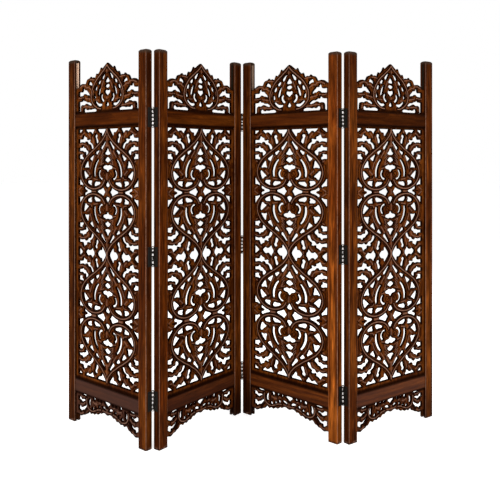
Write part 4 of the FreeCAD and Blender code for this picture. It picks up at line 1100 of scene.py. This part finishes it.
class JALI_OT_screws(bpy.types.Operator):
    """Set cross-headed screws in the hinge leaves"""

    bl_idname = "jali.screws"
    bl_label = "Hinge Screws"

    def execute(self, context):
        group = screw_tree()
        finish = iron_material("screw_iron", 0.9)
        screw = None
        for name in [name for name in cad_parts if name.endswith("screws")]:
            number = int(name.split("_")[1])
            points = local_points(name, number)
            points = points[np.argsort(points[:, 2])]
            breaks = np.flatnonzero(np.diff(points[:, 2]) > 0.008) + 1
            boxes = [(part.min(axis=0), part.max(axis=0)) for part in np.split(points, breaks)]
            right = "_right_" in name
            seats = [(high[0] if right else low[0], (low[1] + high[1]) / 2,
                      (low[2] + high[2]) / 2) for low, high in boxes]
            if not screw:
                low, high = boxes[0]
                sunk, shank = 0.0018, 0.00175
                screw = new_object("screw", cross_screw(
                    (high[2] - low[2]) / 2, shank, sunk, high[0] - low[0] - sunk))
            mesh = bpy.data.meshes.new(f"{name}_seats")
            mesh.from_pydata(seats, [], [])
            made = through(name, mesh, "NODES", {
                "Screw": screw, "Facing": math.pi if right else 0.0, "Seed": number + 4 * right,
                "Material": finish}, node_group=group)
            made.transform(PLACES[number])
            made.update()
            stand_in(f"finished_{name}", made, number, name)
        bpy.data.objects.remove(screw)
        return {"FINISHED"}


def camera_share(t):
    """Return 1 for rays that reach the camera, straight, mirrored or through glass."""
    ray = t.add("ShaderNodeLightPath").outputs
    return t.most(t.most(ray["Is Camera Ray"], ray["Is Glossy Ray"]), ray["Is Transmission Ray"])


class JALI_OT_stage(bpy.types.Operator):
    """Lay a pale floor, set soft lamps and stand the camera where the photographer stood"""

    bl_idname = "jali.stage"
    bl_label = "Stage"

    def execute(self, context):
        scene = context.scene
        scene.view_settings.view_transform = "Standard"
        mesh = bpy.data.meshes.new("floor")
        reach = 30.0
        mesh.from_pydata([(-reach, -reach, 0), (reach, -reach, 0), (reach, reach, 0),
                          (-reach, reach, 0)], [], [(0, 1, 2, 3)])
        new_object("floor", mesh)
        material, t, shader = new_material("pale_floor")
        t.feed(shader, {"Base Color": (0.9, 0.9, 0.9), "Roughness": 0.9,
                        "Emission Color": (1.0, 1.0, 1.0),
                        "Emission Strength": t.times(camera_share(t), 0.55)})
        mesh.materials.append(material)

        scene.world = bpy.data.worlds.new("studio")
        scene.world.use_nodes = True
        t = Tree(scene.world.node_tree)
        strength = t.add("ShaderNodeMapRange", {"Value": camera_share(t), "To Min": 0.45,
                                                "To Max": 1.0})
        t.feed(scene.world.node_tree.nodes["Background"], {
            "Strength": strength.outputs["Result"], "Color": (1.0, 1.0, 1.0)})

        for name, spot, size, power in (("key_lamp", (-2.2, -3.0, 2.9), 1.8, 110),
                                        ("fill_lamp", (2.6, -2.8, 2.0), 2.2, 70),
                                        ("back_lamp", (0.4, 2.6, 3.0), 2.0, 60)):
            light = bpy.data.lights.new(name, "AREA")
            light.size = size
            light.energy = power
            lamp = new_object(name, light)
            lamp.location = spot
            aim = Vector((0, 0, 0.8)) - Vector(spot)
            lamp.rotation_euler = aim.to_track_quat("-Z", "Y").to_euler()

        # The photograph is 500 pixels wide and its focal length 713.5 pixels.
        data = bpy.data.cameras.new("camera")
        data.lens = data.sensor_width * 713.5 / 500
        data.shift_y = -0.1821
        data.clip_end = 100
        camera = new_object("camera", data)
        camera.location = (-0.0063, -2.9132, 1.1053)
        camera.rotation_euler = (math.radians(90), 0, 0)
        scene.camera = camera
        return {"FINISHED"}


class JALI_PT_screen(bpy.types.Panel):
    """Lists the steps that dress the screen"""

    bl_label = "Jali Screen"
    bl_idname = "JALI_PT_screen"
    bl_space_type = "VIEW_3D"
    bl_region_type = "UI"
    bl_category = "Jali Screen"

    def draw(self, context):
        column = self.layout.column()
        for group in (context.scene.jali_sizes, context.scene.jali_colours):
            for name in group.bl_rna.properties.keys():
                if name not in ("rna_type", "name"):
                    column.prop(group, name)
        for step in STEPS:
            column.operator(step.bl_idname)


STEPS = (JALI_OT_stage, JALI_OT_carved_boards, JALI_OT_stiles, JALI_OT_rails, JALI_OT_hinges,
         JALI_OT_screws)
CLASSES = (JaliSizes, JaliColours, *STEPS, JALI_PT_screen)


def register():
    for item in CLASSES:
        bpy.utils.register_class(item)
    bpy.types.Scene.jali_sizes = bpy.props.PointerProperty(type=JaliSizes)
    bpy.types.Scene.jali_colours = bpy.props.PointerProperty(type=JaliColours)


def unregister():
    del bpy.types.Scene.jali_sizes
    del bpy.types.Scene.jali_colours
    for item in reversed(CLASSES):
        bpy.utils.unregister_class(item)


def main():
    register()
    grain_group()
    bpy.ops.jali.stage()
    bpy.ops.jali.carved_boards()
    bpy.ops.jali.stiles()
    bpy.ops.jali.rails()
    bpy.ops.jali.hinges()
    bpy.ops.jali.screws()


if __name__ == "__main__":
    main()
